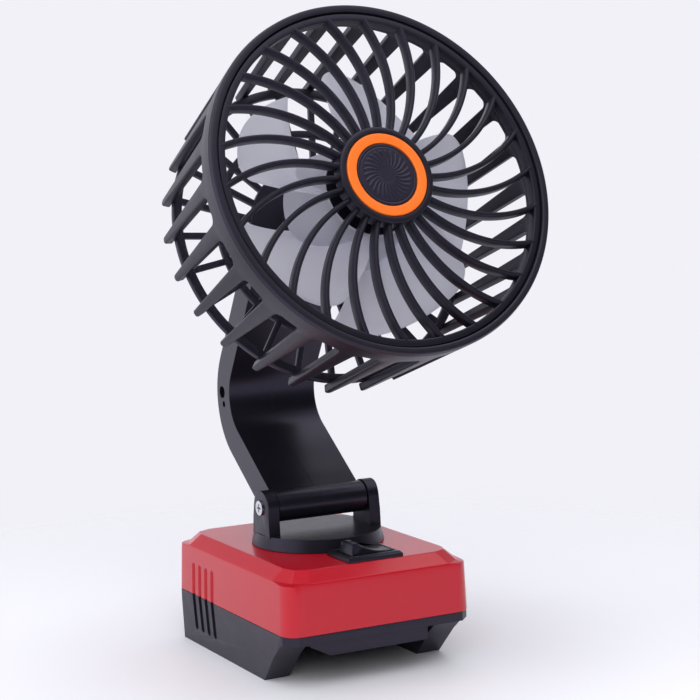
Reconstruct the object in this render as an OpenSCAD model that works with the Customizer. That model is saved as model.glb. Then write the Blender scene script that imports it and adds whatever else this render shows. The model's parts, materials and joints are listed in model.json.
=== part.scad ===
// Cordless jobsite fan on a slide-on battery base.
// Millimetres, +Z up. The origin is the middle of the base, on the surface it stands on;
// -Y is the front, where the air leaves the fan.

/* [Base shells] */
// Width of the base across its seam
base_w = 80; // [70:1:100]
// Depth of the base, front to back
base_d = 103.5; // [96:0.5:130]
// Height of the base
base_h = 44.5; // [42:0.5:56]
// Height of the seam between the lower and the upper shell
seam_z = 20.9; // [20:0.1:22]
// Radius of the upright corners
corner_r = 6.6; // [4:0.1:8]
// How far the top chamfer runs inwards
chamfer_in = 5.2; // [3:0.1:6]
// Height of the top chamfer
chamfer_h = 4.2; // [2:0.1:6]
// How much each side of the upper shell leans in from the seam to the chamfer
upper_lean = 0.6; // [0:0.1:1.5]
// How much each side of the lower shell leans in from the seam to the floor
lower_lean = 1.5; // [0:0.1:2.5]
// Wall thickness of the shells
wall = 2.5; // [2:0.1:3]

/* [Grip grooves] */
// Grooves on each side
groove_count = 4; // [2:1:5]
// Spacing of the grooves
groove_pitch = 6; // [4.5:0.1:7]
// Width of a groove
groove_w = 3; // [2:0.1:3.5]
// Depth of a groove
groove_deep = 0.9; // [0.4:0.1:1.2]
// Place of the foremost groove behind the middle of the base
groove_first_y = 15.8; // [5:0.1:20]
// Lower end of the grooves
groove_low_z = 6.3; // [4:0.1:10]
// Upper end of the grooves
groove_high_z = 34; // [28:0.1:36]

/* [Battery channel] */
// Width of each side wall of the battery channel
leg_w = 12; // [11:0.1:14]
// Height of the channel's roof above the floor
channel_h = 16.5; // [15:0.1:17]
// Where the raked front end of a side wall meets the floor, in front of the middle
rake_foot_y = 27.8; // [20:0.1:32]
// Height of the lower edge of the front panel
panel_low_z = 12.4; // [11:0.1:14]
// Left edge of the front panel, from the middle
panel_left_x = 22; // [16:0.5:24]
// Right edge of the front panel, from the middle
panel_right_x = 19.9; // [16:0.5:24]
// How far the battery rails reach in from the side walls
rail_in = 3; // [2:0.1:3.5]
// Thickness of the battery rails
rail_t = 2.4; // [2:0.1:3]
// Height of the underside of the rails
rail_z = 5; // [4:0.1:6]
// Width of the battery's terminal block
terminal_w = 26; // [22:0.5:30]
// Length of the terminal block
terminal_d = 18; // [14:0.5:22]

/* [Switch] */
// Width of the switch's bezel
bezel_w = 23.6; // [22:0.1:26]
// Depth of the bezel
bezel_d = 18.6; // [17:0.1:19]
// Height of the bezel above the base
bezel_h = 2.2; // [1.5:0.1:3]
// Place of the switch's middle to the right of the base's middle
switch_x = 1.3; // [-4:0.1:4]
// Length of the rocker
rocker_l = 18; // [16:0.1:19]
// Width of the rocker
rocker_w = 12.4; // [10:0.1:13]
// Tilt of the rocker at rest to either side
rocker_tilt = 11; // [7:0.5:13]

/* [Turntable and lower hinge] */
// Radius of the turntable's disc at its foot
disc_r = 26.4; // [25.5:0.1:27.5]
// Radius of the disc at its top
disc_top_r = 25.3; // [25:0.1:26]
// Thickness of the disc
disc_t = 5; // [4:0.1:6]
// Radius of the spigot that turns in the base
spigot_r = 8.5; // [7:0.1:10]
// Height of the lower hinge's axis above the base
hinge_up = 15.7; // [14.5:0.1:18]
// Thickness of an ear
ear_t = 4.8; // [4:0.1:5]
// Radius of an ear's round end
ear_r = 6.7; // [6.2:0.1:7]

/* [Arm] */
// Width of the arm
arm_w = 39; // [36:0.5:39.5]
// Thickness of the arm, seen from the side
arm_t = 11.8; // [10:0.1:12.2]
// Radius of the round barrel at each end of the arm
barrel_r = 6.2; // [6:0.1:6.4]
// Slope of the arm's lower straight above the level
arm_slope = 35.6; // [25:0.1:45]
// Length of the lower straight
arm_low_len = 40; // [36:0.5:50]
// How far the lower straight's middle line passes behind the hinge
arm_set_back = 2.65; // [2:0.05:3]
// Radius of the bend's middle line
bend_r = 23.35; // [20:0.05:30]
// Angle that the arm turns through in the bend
bend_turn = 85.2; // [75:0.1:95]
// Length of the upper straight up to the head's pivot
arm_high_len = 52.3; // [48:0.1:60]
// Wall thickness of the arm's halves
arm_wall = 2; // [1.5:0.1:2.5]
// Diameter of the lead inside the arm
lead_dia = 3.2; // [2.4:0.1:3.6]

/* [Head] */
// Upward tilt of the head as photographed
head_tilt = 22.7; // [10:0.1:30]
// Distance from the head's pivot forward to the front groove
pivot_back = 82.4; // [80:0.1:90]
// Outer radius of the cage at the front
cage_front_r = 68.3; // [66:0.1:72]
// Wall thickness of the cage
cage_wall = 3.2; // [3:0.1:3.4]
// Depth of the fins' tips behind the front groove
cage_depth = 61.6; // [60:0.1:66]
// Depth at which the gaps between the fins begin
skirt_depth = 9.3; // [8.5:0.1:14]
// Number of fins, ribs and spokes
fin_count = 26; // [20:1:30]
// Width of a fin near the skirt
fin_w = 6.2; // [5:0.1:6.8]
// Width of a fin at its tip
fin_tip_w = 2.9; // [2:0.1:3.4]
// Width of the rear hoop and of the middle ring
hoop_w = 2.7; // [2:0.1:3.5]
// Outer radius of the middle ring
ring_r = 43.2; // [38:0.1:48]
// Radius of the rear disc
rear_disc_r = 28.75; // [28:0.05:32]
// Thickness of the ribs and of the hoop
rib_t = 2.6; // [2.4:0.1:3]
// Width of a rib
rib_w = 2.3; // [2:0.1:3]

/* [Front grille] */
// Width of the rim
rim_w = 2.8; // [2.6:0.1:3.6]
// Depth of the rim
rim_t = 4.6; // [4:0.1:5]
// Width of a spoke
spoke_w = 2; // [1.6:0.1:2.4]
// Depth of a spoke
spoke_t = 4.8; // [4:0.1:5]
// Radius of the arc that each spoke follows
spoke_arc_r = 53.4; // [50:0.1:58]
// Radius of the grille's hub
hub_r = 18.8; // [18:0.1:20]
// How far the hub's face stands in front of the groove
hub_proud = 1.4; // [1:0.1:2]
// Outer radius of the coloured ring
accent_r = 16.3; // [15:0.1:17]
// Radius of the centre cap
cap_r = 12.1; // [11:0.1:13]

/* [Impeller] */
// Number of blades
blade_count = 5; // [3:1:6]
// Radius of the blades' tips
blade_r = 50; // [46:0.5:54]
// Thickness of a blade
blade_t = 1.6; // [1.4:0.1:2]
// Angle from a blade's front edge to its rear edge, at the tip
blade_sweep = 66.8; // [60:0.1:68]
// Radius of the impeller's hub at its front edge
cone_front_r = 19.25; // [19:0.05:20]
// Radius of the impeller's hub at its rear edge
cone_rear_r = 24.7; // [24:0.1:26]
// Depth of the hub's front edge
cone_front_depth = 12.7; // [12:0.1:13.5]
// Depth of the hub's rear edge
cone_rear_depth = 37; // [34:0.1:39]

/* [Motor] */
// Radius of the motor's can
can_r = 13.85; // [13.5:0.05:14.5]
// Length of the can
can_len = 31.5; // [30:0.1:33]
// Radius of the motor's shaft
shaft_r = 1.15; // [1:0.05:1.6]

/* [Fasteners] */
// Radius of the hinge bolts
bolt_r = 1.5; // [1.2:0.1:1.6]
// Radius of the hinge bolts' heads
bolt_head_r = 2.9; // [2.6:0.1:3]
// Width across the flats of the hinge nuts
nut_flats = 5.5; // [5:0.1:5.8]
// Radius of the base's screws
base_screw_r = 1.5; // [1.2:0.1:1.7]
// Radius of the small screws
small_screw_r = 1.1; // [0.9:0.1:1.2]

/* [Clearances] */
// Radial gap of a pin or shaft that turns
run_gap = 0.05; // [0.02:0.01:0.08]
// Gap between faces that slide past each other
slide_gap = 0.2; // [0.15:0.05:0.3]
// Gap around pieces that are only placed
seat_gap = 0.1; // [0.05:0.05:0.15]
// Gap of a moving piece in its window
window_gap = 0.4; // [0.3:0.1:0.5]

/* [Hidden] */
$fn = 64;
eps = 0.02;

// Base shells
half_w = base_w / 2;
facet_cut = 0.8;
half_d = base_d / 2;
chamfer_z = base_h - chamfer_h;
roof_z = base_h - wall;
tray_z = channel_h + wall;
channel_x = half_w - leg_w;
rake_top_z = seam_z - 3.4;
rake_run = 10.3;
rake_mid_z = 11.3;
rake_end_y = half_d - 6.25;
panel_slope = 8;
panel_top_z = seam_z - 1.5;
panel_in = 0.2;
rail_back = 8;
pocket_end = 6;
leg_mid_x = half_w - lower_lean / 2 - leg_w / 2;
front_screw_y = -14;
rear_screw_y = half_d - 12;
screw_places = [for (x = [-leg_mid_x, leg_mid_x], y = [front_screw_y, rear_screw_y]) [x, y]];
screw_boss_r = base_screw_r + 2;
screw_head_r = base_screw_r + 1.3;
screw_head_t = 2;
screw_seat_z = 8;
small_slot_w = 0.5;
screw_tip_z = roof_z - 4;
cross_w = 3.2;
cross_t = 0.7;

// Board and terminals
terminal_y = half_d - 23.75;
terminal_step = 2;
contact_w = 3;
contact_h = 4.5;
blade_thick = 0.8;
blade_h = 3.4;
lead_r = 0.9;
lead_foot_z = tray_z + 1.4;
terminal_xs = [-terminal_w / 2 + 4, 0, terminal_w / 2 - 4];
terminal_low_z = 7.6;
board_w = 46;
board_d = 38;
board_t = 1.6;
post_in = 4;
capacitor_r = board_w / 12;
capacitor_h = board_w / 5;
choke = [board_w / 5, board_w / 5, board_w / 10];
driver = [board_w / 8, board_w / 9, board_w / 28];
plug = [board_w / 6, board_w / 8, board_w / 8];
board_y = half_d - 31.75;
board_z = tray_z + 3;
post_r = 2.4;

// Switch
switch_y = -(disc_r + slide_gap + 0.6 + bezel_d / 2);
cut_w = 20;
cut_d = 16;
body_depth = 14;
body_floor = 3;
bezel_slant = 1;
rocker_end_z = 3.6;
rocker_valley_z = 2.2;
rocker_drum = 4;
tab_pitch = 7;
tab_w = 4.8;
tab_len = 6;
tab_t = 0.8;
rocker_pin_r = 1.2;
rocker_axis_z = base_h + 0.4;
rocker_gap_w = rocker_l + 2 * window_gap;

// Turntable and hinges
disc_z = base_h + slide_gap;
disc_top_z = disc_z + disc_t;
hinge_z = base_h + hinge_up;
ear_in = arm_w / 2 + 0.5;
ear_out = ear_in + ear_t;
washer_t = ear_in - arm_w / 2 - seat_gap;
washer_r = 4.6;
bolt_head_t = 1.9;
head_recess = 1.1;
nut_t = 2.4;
wire_hole_r = 2;
retainer_r = spigot_r + 4;
retainer_t = 2.2;
retainer_screw_in = 2.4;
retainer_screw_l = 7;
retainer_head_t = 1.2;
ear_flare = 0.6;
nut_stand = 0.2;
thrust_t = 0.9;
retainer_top_z = roof_z - thrust_t - slide_gap;

// Arm, in the plane that cuts it lengthwise: the first value is Y, the second is Z
low_dir = [cos(arm_slope), sin(arm_slope)];
low_left = [-sin(arm_slope), cos(arm_slope)];
high_slope = arm_slope + bend_turn;
high_dir = [cos(high_slope), sin(high_slope)];
hinge_at = [0, hinge_z];
low_start = hinge_at - arm_set_back * low_left;
bend_start = low_start + arm_low_len * low_dir;
bend_centre = bend_start + bend_r * low_left;
bend_first = arm_slope - 90;
high_start = bend_centre + bend_r * [cos(bend_first + bend_turn), sin(bend_first + bend_turn)];
pivot_at = high_start + arm_high_len * high_dir;
arm_screw_turn = 55.8;
arm_screw_aside = 1;
arm_screw_low = 10.5;
arm_screw_at = bend_centre
    + (bend_r + arm_screw_aside) * [cos(bend_first + arm_screw_turn), sin(bend_first + arm_screw_turn)];
arm_screw_high_at = high_start + (arm_high_len - arm_screw_low) * high_dir +
    arm_screw_aside * [sin(high_slope), -cos(high_slope)];
arm_pin_turn = 43.9;
arm_pin_r = 1.25;
arm_pin_deep = 0.8;
arm_screw_end = 4;
arm_screw_head_t = 1.5;
arm_slot_w = 2.8;
arm_slot_t = 0.5;
arm_pin_at = bend_centre + bend_r * [cos(bend_first + arm_pin_turn), sin(bend_first + arm_pin_turn)];
arm_screw_boss_r = 3.2;
arm_screw_hole_r = 2.5;
arm_screw_depth = 4.5;
lead_x = 9;
lead_end = barrel_r + 1.5;
lead_aside = arm_t / 2 - arm_wall - lead_dia / 2 - 2 * seat_gap;

// Head: its frame has X to the right, Y up across the face and Z forward along the fan's axis
head_at = pivot_at + pivot_back * [-cos(head_tilt), sin(head_tilt)];
pitch = 360 / fin_count;
fin_turn = 12.43;
spoke_turn = 13.5;
cage_front = 0.8;
cage_draft = 4.8;
cage_rear_r = cage_front_r - cage_draft;
hoop_in = 3.5;
hoop_r = cage_rear_r - hoop_in;
rim_in = 3.4;
rim_r = cage_front_r - rim_in;
rim_shelf = rim_w - 0.5;
lip_flat = 1.9;
hoop_edge = 0.9;
rear_disc_t = 3;
rear_disc_depth = 57.5;
hoop_depth = 55.7;
ledge_depth = rim_t + 0.3;
fin_inset = 0.3;
fin_sink = 0.3;
gap_corner = 2.4;
hoop_out_r = hoop_r + hoop_edge;
plate_t = 3;
plate_depth = rear_disc_depth + rear_disc_t;
plate_r = rear_disc_r - 2.5;
bracket_screw_at = plate_r - 5;
cup_wall = 2.4;
cup_len = 12;
lip_in_r = cage_front_r - cage_wall + 0.2;
spoke_arc_from_axis = 57.5;
spoke_arc_ahead = 54;
cup_t = 5.6;
face_t = 2.6;
accent_t = 1.4;
cap_t = 1.3;

// Impeller and motor
can_rear_depth = rear_disc_depth;
can_front_depth = can_rear_depth - can_len;
can_wall = 1;
web_depth = 15.6;
web_t = 1.6;
cone_wall = 1.5;
hub_boss_r = 4;
hub_boss_len = 8;
lock_cap_t = 1.9;
blade_first = 27;
blade_front_depth = 17;
blade_front_root_depth = 11;
shaft_front_depth = web_depth - lock_cap_t - 1;
bushing_r = 3;
bushing_len = 2.6;
core_r = 10;
core_len = 14;
core_depth = can_front_depth + 7.2;
magnet_in_r = core_r + 0.5;
winding_len = 2.4;
commutator_r = 3.2;
commutator_len = 4.5;
commutator_depth = can_rear_depth - bushing_len - 0.5;
end_cap_len = 5;
brush_t = 2.6;
collar_w = 2;
collar_t = 1.6;
slot_w = 1.8;
slot_floor_r = 4.5;
magnet_half = 0.4;
brush_end = 2.1;
end_cap_wall = 1.5;

module head_frame() {
    translate([0, head_at[0], head_at[1]]) rotate([90 - head_tilt, 0, 0]) children();
}

// Places children at a depth behind the front groove, inside the head's frame
module at_depth(depth) {
    translate([0, 0, -depth]) children();
}

// A side profile, drawn as Y and Z, made as thick as two X values say
module across(x_low, x_high) {
    translate([x_low, 0, 0]) rotate([90, 0, 90]) linear_extrude(x_high - x_low) children();
}

module ring(outer_r, inner_r, height) {
    difference() {
        cylinder(r = outer_r, h = height);
        translate([0, 0, -eps]) cylinder(r = inner_r, h = height + 2 * eps);
    }
}

module round_slab(w, d, r) {
    square([w - 2 * r, d], center = true);
    square([w, d - 2 * r], center = true);
    for (x = [-1, 1], y = [-1, 1]) translate([x * (w / 2 - r), y * (d / 2 - r)]) circle(r);
}

// Half profile of the base from the floor to the roof, with an inset for the hollow inside
function base_profile(half, inset, low, high) = [
    [-half + inset + lower_lean * (seam_z - low) / seam_z, low],
    [half - inset - lower_lean * (seam_z - low) / seam_z, low],
    [half - inset, seam_z],
    [half - inset - upper_lean, chamfer_z],
    [half - inset - upper_lean - chamfer_in * (high - chamfer_z) / chamfer_h, high],
    [-half + inset + upper_lean + chamfer_in * (high - chamfer_z) / chamfer_h, high],
    [-half + inset + upper_lean, chamfer_z],
    [-half + inset, seam_z]];

// The block that both shells are cut from
module base_block(inset, low, high) {
    diagonal = (half_w + half_d - 2 * corner_r) / sqrt(2) + corner_r - inset;
    facet = diagonal - facet_cut;
    intersection() {
        linear_extrude(high) round_slab(base_w - 2 * inset, base_d - 2 * inset, corner_r - inset / 2);
        rotate([90, 0, 0]) translate([0, 0, -base_d]) linear_extrude(2 * base_d)
            polygon(base_profile(half_w, inset, low, high));
        rotate([90, 0, 90]) translate([0, 0, -base_w]) linear_extrude(2 * base_w)
            polygon(base_profile(half_d, inset, low, high));
        corner_facets(facet, high);
    }
}

// Two crossed prisms that cut a flat facet across the chamfer at each corner
module corner_facets(facet, high) {
    profile = [[-facet, 0], [facet, 0], [facet, chamfer_z],
        [facet - chamfer_in * (high - chamfer_z) / chamfer_h, high],
        [-facet + chamfer_in * (high - chamfer_z) / chamfer_h, high], [-facet, chamfer_z]];
    intersection() {
        rotate([90, 0, 45]) translate([0, 0, -base_d]) linear_extrude(2 * base_d) polygon(profile);
        rotate([90, 0, -45]) translate([0, 0, -base_d]) linear_extrude(2 * base_d) polygon(profile);
    }
}

// The grip grooves: rounded slots that follow the side walls' lean at an even depth
module grip_grooves() {
    low_in = groove_deep + lower_lean * (seam_z - groove_low_z) / seam_z;
    high_in = groove_deep + upper_lean * (groove_high_z - seam_z) / (chamfer_z - seam_z);
    for (side = [-1, 1]) mirror([side < 0 ? 1 : 0, 0, 0]) intersection() {
        rotate([90, 0, 0]) translate([0, 0, -half_d]) linear_extrude(base_d) polygon([
            [half_w + 1, groove_low_z - 1], [half_w + 1, groove_high_z + 1],
                [half_w - high_in, groove_high_z + 1],
            [half_w - groove_deep, seam_z], [half_w - low_in, groove_low_z - 1]]);
        across(half_w - 2 * low_in, half_w + 2) for (i = [0 : groove_count - 1])
            translate([groove_first_y + i * groove_pitch, 0]) groove_face();
    }
}

module groove_face() {
    translate([-groove_w / 2, groove_low_z + groove_w / 2])
        square([groove_w, groove_high_z - groove_low_z - groove_w]);
    for (z = [groove_low_z + groove_w / 2, groove_high_z - groove_w / 2]) translate([0, z])
        circle(d = groove_w);
}

module base_lower_shell() {
    pocket_in = half_w - leg_w + wall;
    pocket_out = half_w - lower_lean - wall;
    color("dimgray") difference() {
        union() {
            difference() {
                intersection() {
                    base_block(0, 0, base_h);
                    translate([-base_w, -base_d, 0]) cube([2 * base_w, 2 * base_d, seam_z]);
                }
                battery_channel();
                leg_rakes();
                translate([0, 0, tray_z]) linear_extrude(seam_z)
                    round_slab(base_w - 2 * wall, base_d - 2 * wall, corner_r - wall / 2);
                for (side = [-1, 1]) mirror([side < 0 ? 1 : 0, 0, 0])
                    translate([pocket_in, front_screw_y - pocket_end, wall]) cube([pocket_out - pocket_in,
                        rear_screw_y - front_screw_y + 2 * pocket_end, seam_z]);
            }
            front_panel();
            battery_rails();
            for (at = screw_places) translate([at[0], at[1], 1]) cylinder(r = screw_boss_r, h = seam_z - 1);
            for (x = [-1, 1], y = [-1, 1])
                translate([x * (board_w / 2 - post_in), board_y + y * (board_d / 2 - post_in), tray_z - eps])
                    cylinder(r = post_r, h = board_z - tray_z + eps);
        }
        grip_grooves();
        for (at = screw_places) translate([at[0], at[1], 0]) {
            translate([0, 0, -1]) cylinder(r = screw_head_r + seat_gap, h = screw_seat_z + 1);
            cylinder(r = base_screw_r + seat_gap, h = base_h);
        }
        translate([-terminal_w / 2 + terminal_step, terminal_y - terminal_d / 2 + terminal_step,
            channel_h - 1])
            cube([terminal_w - 2 * terminal_step, terminal_d - 2 * terminal_step, base_h]);
    }
}

module battery_channel() {
    translate([-channel_x, -base_d, -1]) cube([2 * channel_x, base_d + half_d - 2 * wall, channel_h + 1]);
}

// Cuts the front ends of the side walls back to the slanted line down to the floor
module leg_rakes() {
    across(-base_w, base_w) polygon([[-base_d, -1], [-rake_foot_y, -1], [-rake_foot_y, 0],
        [-rake_foot_y - rake_run, rake_mid_z], [-rake_end_y, rake_top_z], [-base_d, rake_top_z]]);
}

module front_panel() {
    translate([0, -half_d + lower_lean * (seam_z - panel_low_z) / seam_z + panel_in, 0])
        rotate([90, 0, 0]) translate([0, 0, -3 * wall]) linear_extrude(3 * wall) polygon([
            [-panel_left_x - panel_slope, rake_top_z - 1], [-panel_left_x, panel_low_z],
            [panel_right_x, panel_low_z], [panel_right_x, panel_top_z],
                [-panel_left_x - panel_slope, panel_top_z]]);
}

module battery_rails() {
    for (side = [-1, 1]) mirror([side < 0 ? 1 : 0, 0, 0])
        translate([channel_x - rail_in, -rake_foot_y + rail_back, rail_z])
            cube([rail_in + 1, half_d - 2 * wall + rake_foot_y - rail_back + 1, rail_t]);
}

module base_upper_shell() {
    color("firebrick") difference() {
        union() {
            difference() {
                intersection() {
                    base_block(0, 0, base_h);
                    translate([-base_w, -base_d, seam_z]) cube([2 * base_w, 2 * base_d, base_h]);
                }
                intersection() {
                    base_block(wall, 0, base_h);
                    translate([-base_w, -base_d, 0]) cube([2 * base_w, 2 * base_d, roof_z]);
                }
            }
            for (at = screw_places) translate([at[0], at[1], seam_z])
                cylinder(r = screw_boss_r, h = roof_z - seam_z + eps);
        }
        grip_grooves();
        for (at = screw_places) translate([at[0], at[1], 0]) cylinder(r = base_screw_r + seat_gap,
            h = screw_tip_z + 1);
        translate([0, 0, roof_z - 1]) cylinder(r = spigot_r + run_gap, h = base_h);
        translate([switch_x - cut_w / 2 - seat_gap, switch_y - cut_d / 2 - seat_gap, roof_z - 1])
            cube([cut_w + 2 * seat_gap, cut_d + 2 * seat_gap, base_h]);
    }
}

module base_screws() {
    color("silver") for (at = screw_places) translate([at[0], at[1], screw_seat_z - screw_head_t])
        difference() {
        union() {
            cylinder(r = screw_head_r, h = screw_head_t);
            cylinder(r = base_screw_r, h = screw_tip_z - screw_seat_z + screw_head_t);
        }
        cross_recess(0);
    }
}

// Cross-shaped drive recess, cut upwards into a screw's head from the given height
module cross_recess(z) {
    for (turn = [0, 90]) rotate(turn) translate([-cross_w / 2, -cross_t / 2, z - 1])
        cube([cross_w, cross_t, 2]);
}

module terminal_block() {
    color("black") difference() {
        union() {
            translate([-terminal_w / 2, terminal_y - terminal_d / 2, terminal_low_z])
                cube([terminal_w, terminal_d, channel_h - terminal_low_z]);
            translate([-terminal_w / 2 + terminal_step + seat_gap,
                terminal_y - terminal_d / 2 + terminal_step + seat_gap, channel_h - 1])
                cube([terminal_w - 2 * terminal_step - 2 * seat_gap,
                    terminal_d - 2 * terminal_step - 2 * seat_gap, wall + 1]);
        }
        for (x = terminal_xs)
            translate([x - contact_w / 2, terminal_y - terminal_d, terminal_low_z + terminal_step])
            cube([contact_w, terminal_d + contact_w + 1, contact_h]);
        for (x = terminal_xs) translate([x - contact_w / 6, terminal_y + 1, terminal_low_z + contact_h - 0.5])
            cube([contact_w / 3, contact_w, base_h]);
    }
}

module terminal_blades() {
    color("goldenrod") for (x = terminal_xs) translate([x - blade_thick / 2, 0, 0]) {
        translate([0, terminal_y - terminal_d / 2 + terminal_step, terminal_low_z + terminal_step + 0.6])
            cube([blade_thick, terminal_d / 2 + terminal_step, blade_h]);
        translate([0, terminal_y + 1.2, terminal_low_z + contact_w])
            cube([blade_thick, contact_w - 0.4, lead_foot_z - terminal_low_z - contact_w]);
    }
}

// Two insulated wires from the outer blades up to the underside of the board
module battery_leads() {
    color("red") for (x = [terminal_xs[0], terminal_xs[2]]) translate([x, terminal_y + 2.5, lead_foot_z])
        cylinder(r = lead_r, h = board_z - lead_foot_z);
}

module control_board() {
    color("darkgreen") difference() {
        translate([-board_w / 2, board_y - board_d / 2, board_z]) cube([board_w, board_d, board_t]);
        for (x = [-1, 1], y = [-1, 1])
            translate([x * (board_w / 2 - post_in), board_y + y * (board_d / 2 - post_in), board_z - 1])
                cylinder(r = small_screw_r, h = board_t + 2);
    }
}

// A part that stands on the board, with its corner at X and Y from the board's middle
module chip(x, y, size) {
    translate([x, board_y + y, board_z + board_t]) cube(size);
}

module board_parts() {
    color("slategray") {
        translate([-board_w / 4, board_y + board_d / 5, board_z + board_t]) cylinder(r = capacitor_r,
            h = capacitor_h);
        chip(board_w / 6, board_d / 6, choke);
        chip(-board_w / 8, -board_d / 5, driver);
        chip(board_w / 5, -board_d / 3, plug);
    }
}

module switch_housing() {
    color("black") translate([switch_x, switch_y, base_h]) difference() {
        union() {
            bezel_frame();
            translate([-cut_w / 2, -cut_d / 2, -body_depth]) cube([cut_w, cut_d, body_depth + 1]);
        }
        translate([-rocker_gap_w / 2, -rocker_w / 2 - window_gap, -body_depth + body_floor])
            cube([rocker_gap_w, rocker_w + 2 * window_gap, body_depth + bezel_h]);
        translate([0, cut_d, rocker_axis_z - base_h]) rotate([90, 0, 0])
            cylinder(r = rocker_pin_r + run_gap, h = 2 * cut_d);
    }
}

// The bezel: a slab whose upper edges slant inwards
module bezel_frame() {
    slant = bezel_slant;
    intersection() {
        rotate([90, 0, 0]) translate([0, 0, -bezel_d / 2]) linear_extrude(bezel_d) polygon([
            [-bezel_w / 2, 0], [bezel_w / 2, 0], [bezel_w / 2, bezel_h - slant],
                [bezel_w / 2 - slant, bezel_h],
            [-bezel_w / 2 + slant, bezel_h], [-bezel_w / 2, bezel_h - slant]]);
        rotate([90, 0, 90]) translate([0, 0, -bezel_w / 2]) linear_extrude(bezel_w) polygon([
            [-bezel_d / 2, 0], [bezel_d / 2, 0], [bezel_d / 2, bezel_h - slant],
                [bezel_d / 2 - slant, bezel_h],
            [-bezel_d / 2 + slant, bezel_h], [-bezel_d / 2, bezel_h - slant]]);
    }
}

// The rocker's side profile about its axis: a shallow V on top, a drum below
module rocker_profile() {
    intersection() {
        circle(r = rocker_l / 2);
        polygon([[-rocker_l, -rocker_drum], [rocker_l, -rocker_drum], [rocker_l, rocker_end_z + 1.6],
            [rocker_l / 2 - 0.6, rocker_end_z], [0, rocker_valley_z], [-rocker_l / 2 + 0.6, rocker_end_z],
            [-rocker_l, rocker_end_z + 1.6]]);
    }
}

module switch_rocker() {
    color("black") translate([switch_x, switch_y, rocker_axis_z]) rotate([0, rocker_tilt, 0]) {
        rotate([90, 0, 0]) translate([0, 0, -rocker_w / 2]) linear_extrude(rocker_w) rocker_profile();
        rotate([90, 0, 0]) translate([0, 0, -cut_d / 2]) cylinder(r = rocker_pin_r, h = cut_d);
    }
}

module switch_tabs() {
    color("goldenrod") for (x = [-tab_pitch, 0, tab_pitch])
        translate([switch_x + x - tab_t / 2, switch_y - tab_w / 2, base_h - body_depth - tab_len])
            cube([tab_t, tab_w, tab_len]);
}

module turntable() {
    color("black") difference() {
        union() {
            translate([0, 0, disc_z]) cylinder(r1 = disc_r, r2 = disc_top_r, h = disc_t);
            translate([0, 0, retainer_top_z]) cylinder(r = spigot_r, h = disc_z - retainer_top_z + 1);
            for (side = [-1, 1]) mirror([side < 0 ? 1 : 0, 0, 0]) intersection() {
                across(ear_in, ear_out) ear_profile();
                cylinder(r1 = disc_r + 3, r2 = disc_top_r - 0.3, h = hinge_z + ear_r);
            }
        }
        translate([0, 0, retainer_top_z - 1]) cylinder(r = wire_hole_r + 1.5,
            h = disc_z - retainer_top_z + 4);
        turntable_screw_places() translate([0, 0, -1]) cylinder(r = small_screw_r, h = retainer_screw_l);
        hinge_holes();
    }
}

module ear_profile() {
    translate(hinge_at) circle(r = ear_r);
    polygon([[-ear_r, hinge_z], [ear_r, hinge_z], [ear_r + ear_flare, disc_top_z - 0.5],
        [-ear_r - ear_flare, disc_top_z - 0.5]]);
}

// Bores of a hinge through both ears, with the head's recess on the left and the nut's on the right
module hinge_holes() {
    translate([0, 0, hinge_z]) hinge_cuts();
}

module hinge_cuts() {
    translate([-base_w, 0, 0]) rotate([0, 90, 0]) cylinder(r = bolt_r + run_gap, h = 2 * base_w);
    translate([-base_w, 0, 0]) rotate([0, 90, 0])
        cylinder(r = bolt_head_r + seat_gap, h = base_w - ear_out + head_recess);
    translate([ear_out - nut_t, 0, 0]) rotate([0, 90, 0])
        cylinder(d = (nut_flats + 2 * seat_gap) / cos(30), h = base_w, $fn = 6);
}

module turntable_screw_places() {
    for (turn = [30, 150, 270]) rotate(turn) translate([spigot_r - retainer_screw_in, 0, retainer_top_z])
        children();
}

module turntable_washer() {
    color("ivory") translate([0, 0, roof_z - thrust_t]) ring(retainer_r - 0.5, spigot_r + seat_gap, thrust_t);
}

module turntable_retainer() {
    color("silver") difference() {
        translate([0, 0, retainer_top_z - retainer_t]) ring(retainer_r, wire_hole_r + 1.5, retainer_t);
        turntable_screw_places() translate([0, 0, -retainer_t - 1])
            cylinder(r = small_screw_r + seat_gap, h = retainer_screw_l);
    }
}

module turntable_screws() {
    color("silver") turntable_screw_places() difference() {
        translate([0, 0, -retainer_t]) {
            translate([0, 0, -retainer_head_t]) cylinder(r = small_screw_r + 0.8, h = retainer_head_t);
            cylinder(r = small_screw_r - seat_gap / 2, h = retainer_screw_l - 0.3);
        }
        translate([0, 0, -retainer_t - retainer_head_t]) rotate(45)
            translate([-small_screw_r, -small_slot_w / 2, -1]) cube([2 * small_screw_r, small_slot_w, 1.5]);
    }
}

module bolt() {
    from = -ear_out + head_recess;
    difference() {
        union() {
            translate([from - bolt_head_t, 0, 0]) rotate([0, 90, 0]) cylinder(r = bolt_head_r,
                h = bolt_head_t);
            translate([from, 0, 0]) rotate([0, 90, 0]) cylinder(r = bolt_r, h = ear_out - nut_stand - from);
        }
        for (turn = [0, 90]) rotate([turn, 0, 0])
            translate([from - bolt_head_t - 1, -cross_w / 2, -cross_t / 2]) cube([2, cross_w, cross_t]);
    }
}

module nut() {
    difference() {
        translate([ear_out - nut_t, 0, 0]) rotate([0, 90, 0])
            cylinder(d = nut_flats / cos(30), h = nut_t - nut_stand / 2, $fn = 6);
        translate([ear_out - nut_t - 1, 0, 0]) rotate([0, 90, 0]) cylinder(r = bolt_r + run_gap / 2,
            h = nut_t + 2);
    }
}

module washers() {
    for (side = [-1, 1]) mirror([side < 0 ? 1 : 0, 0, 0])
        translate([arm_w / 2, 0, 0]) rotate([0, 90, 0]) ring(washer_r, bolt_r + run_gap, washer_t);
}

module hinge_bolt() {
    color("silver") translate([0, 0, hinge_z]) bolt();
}

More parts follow.
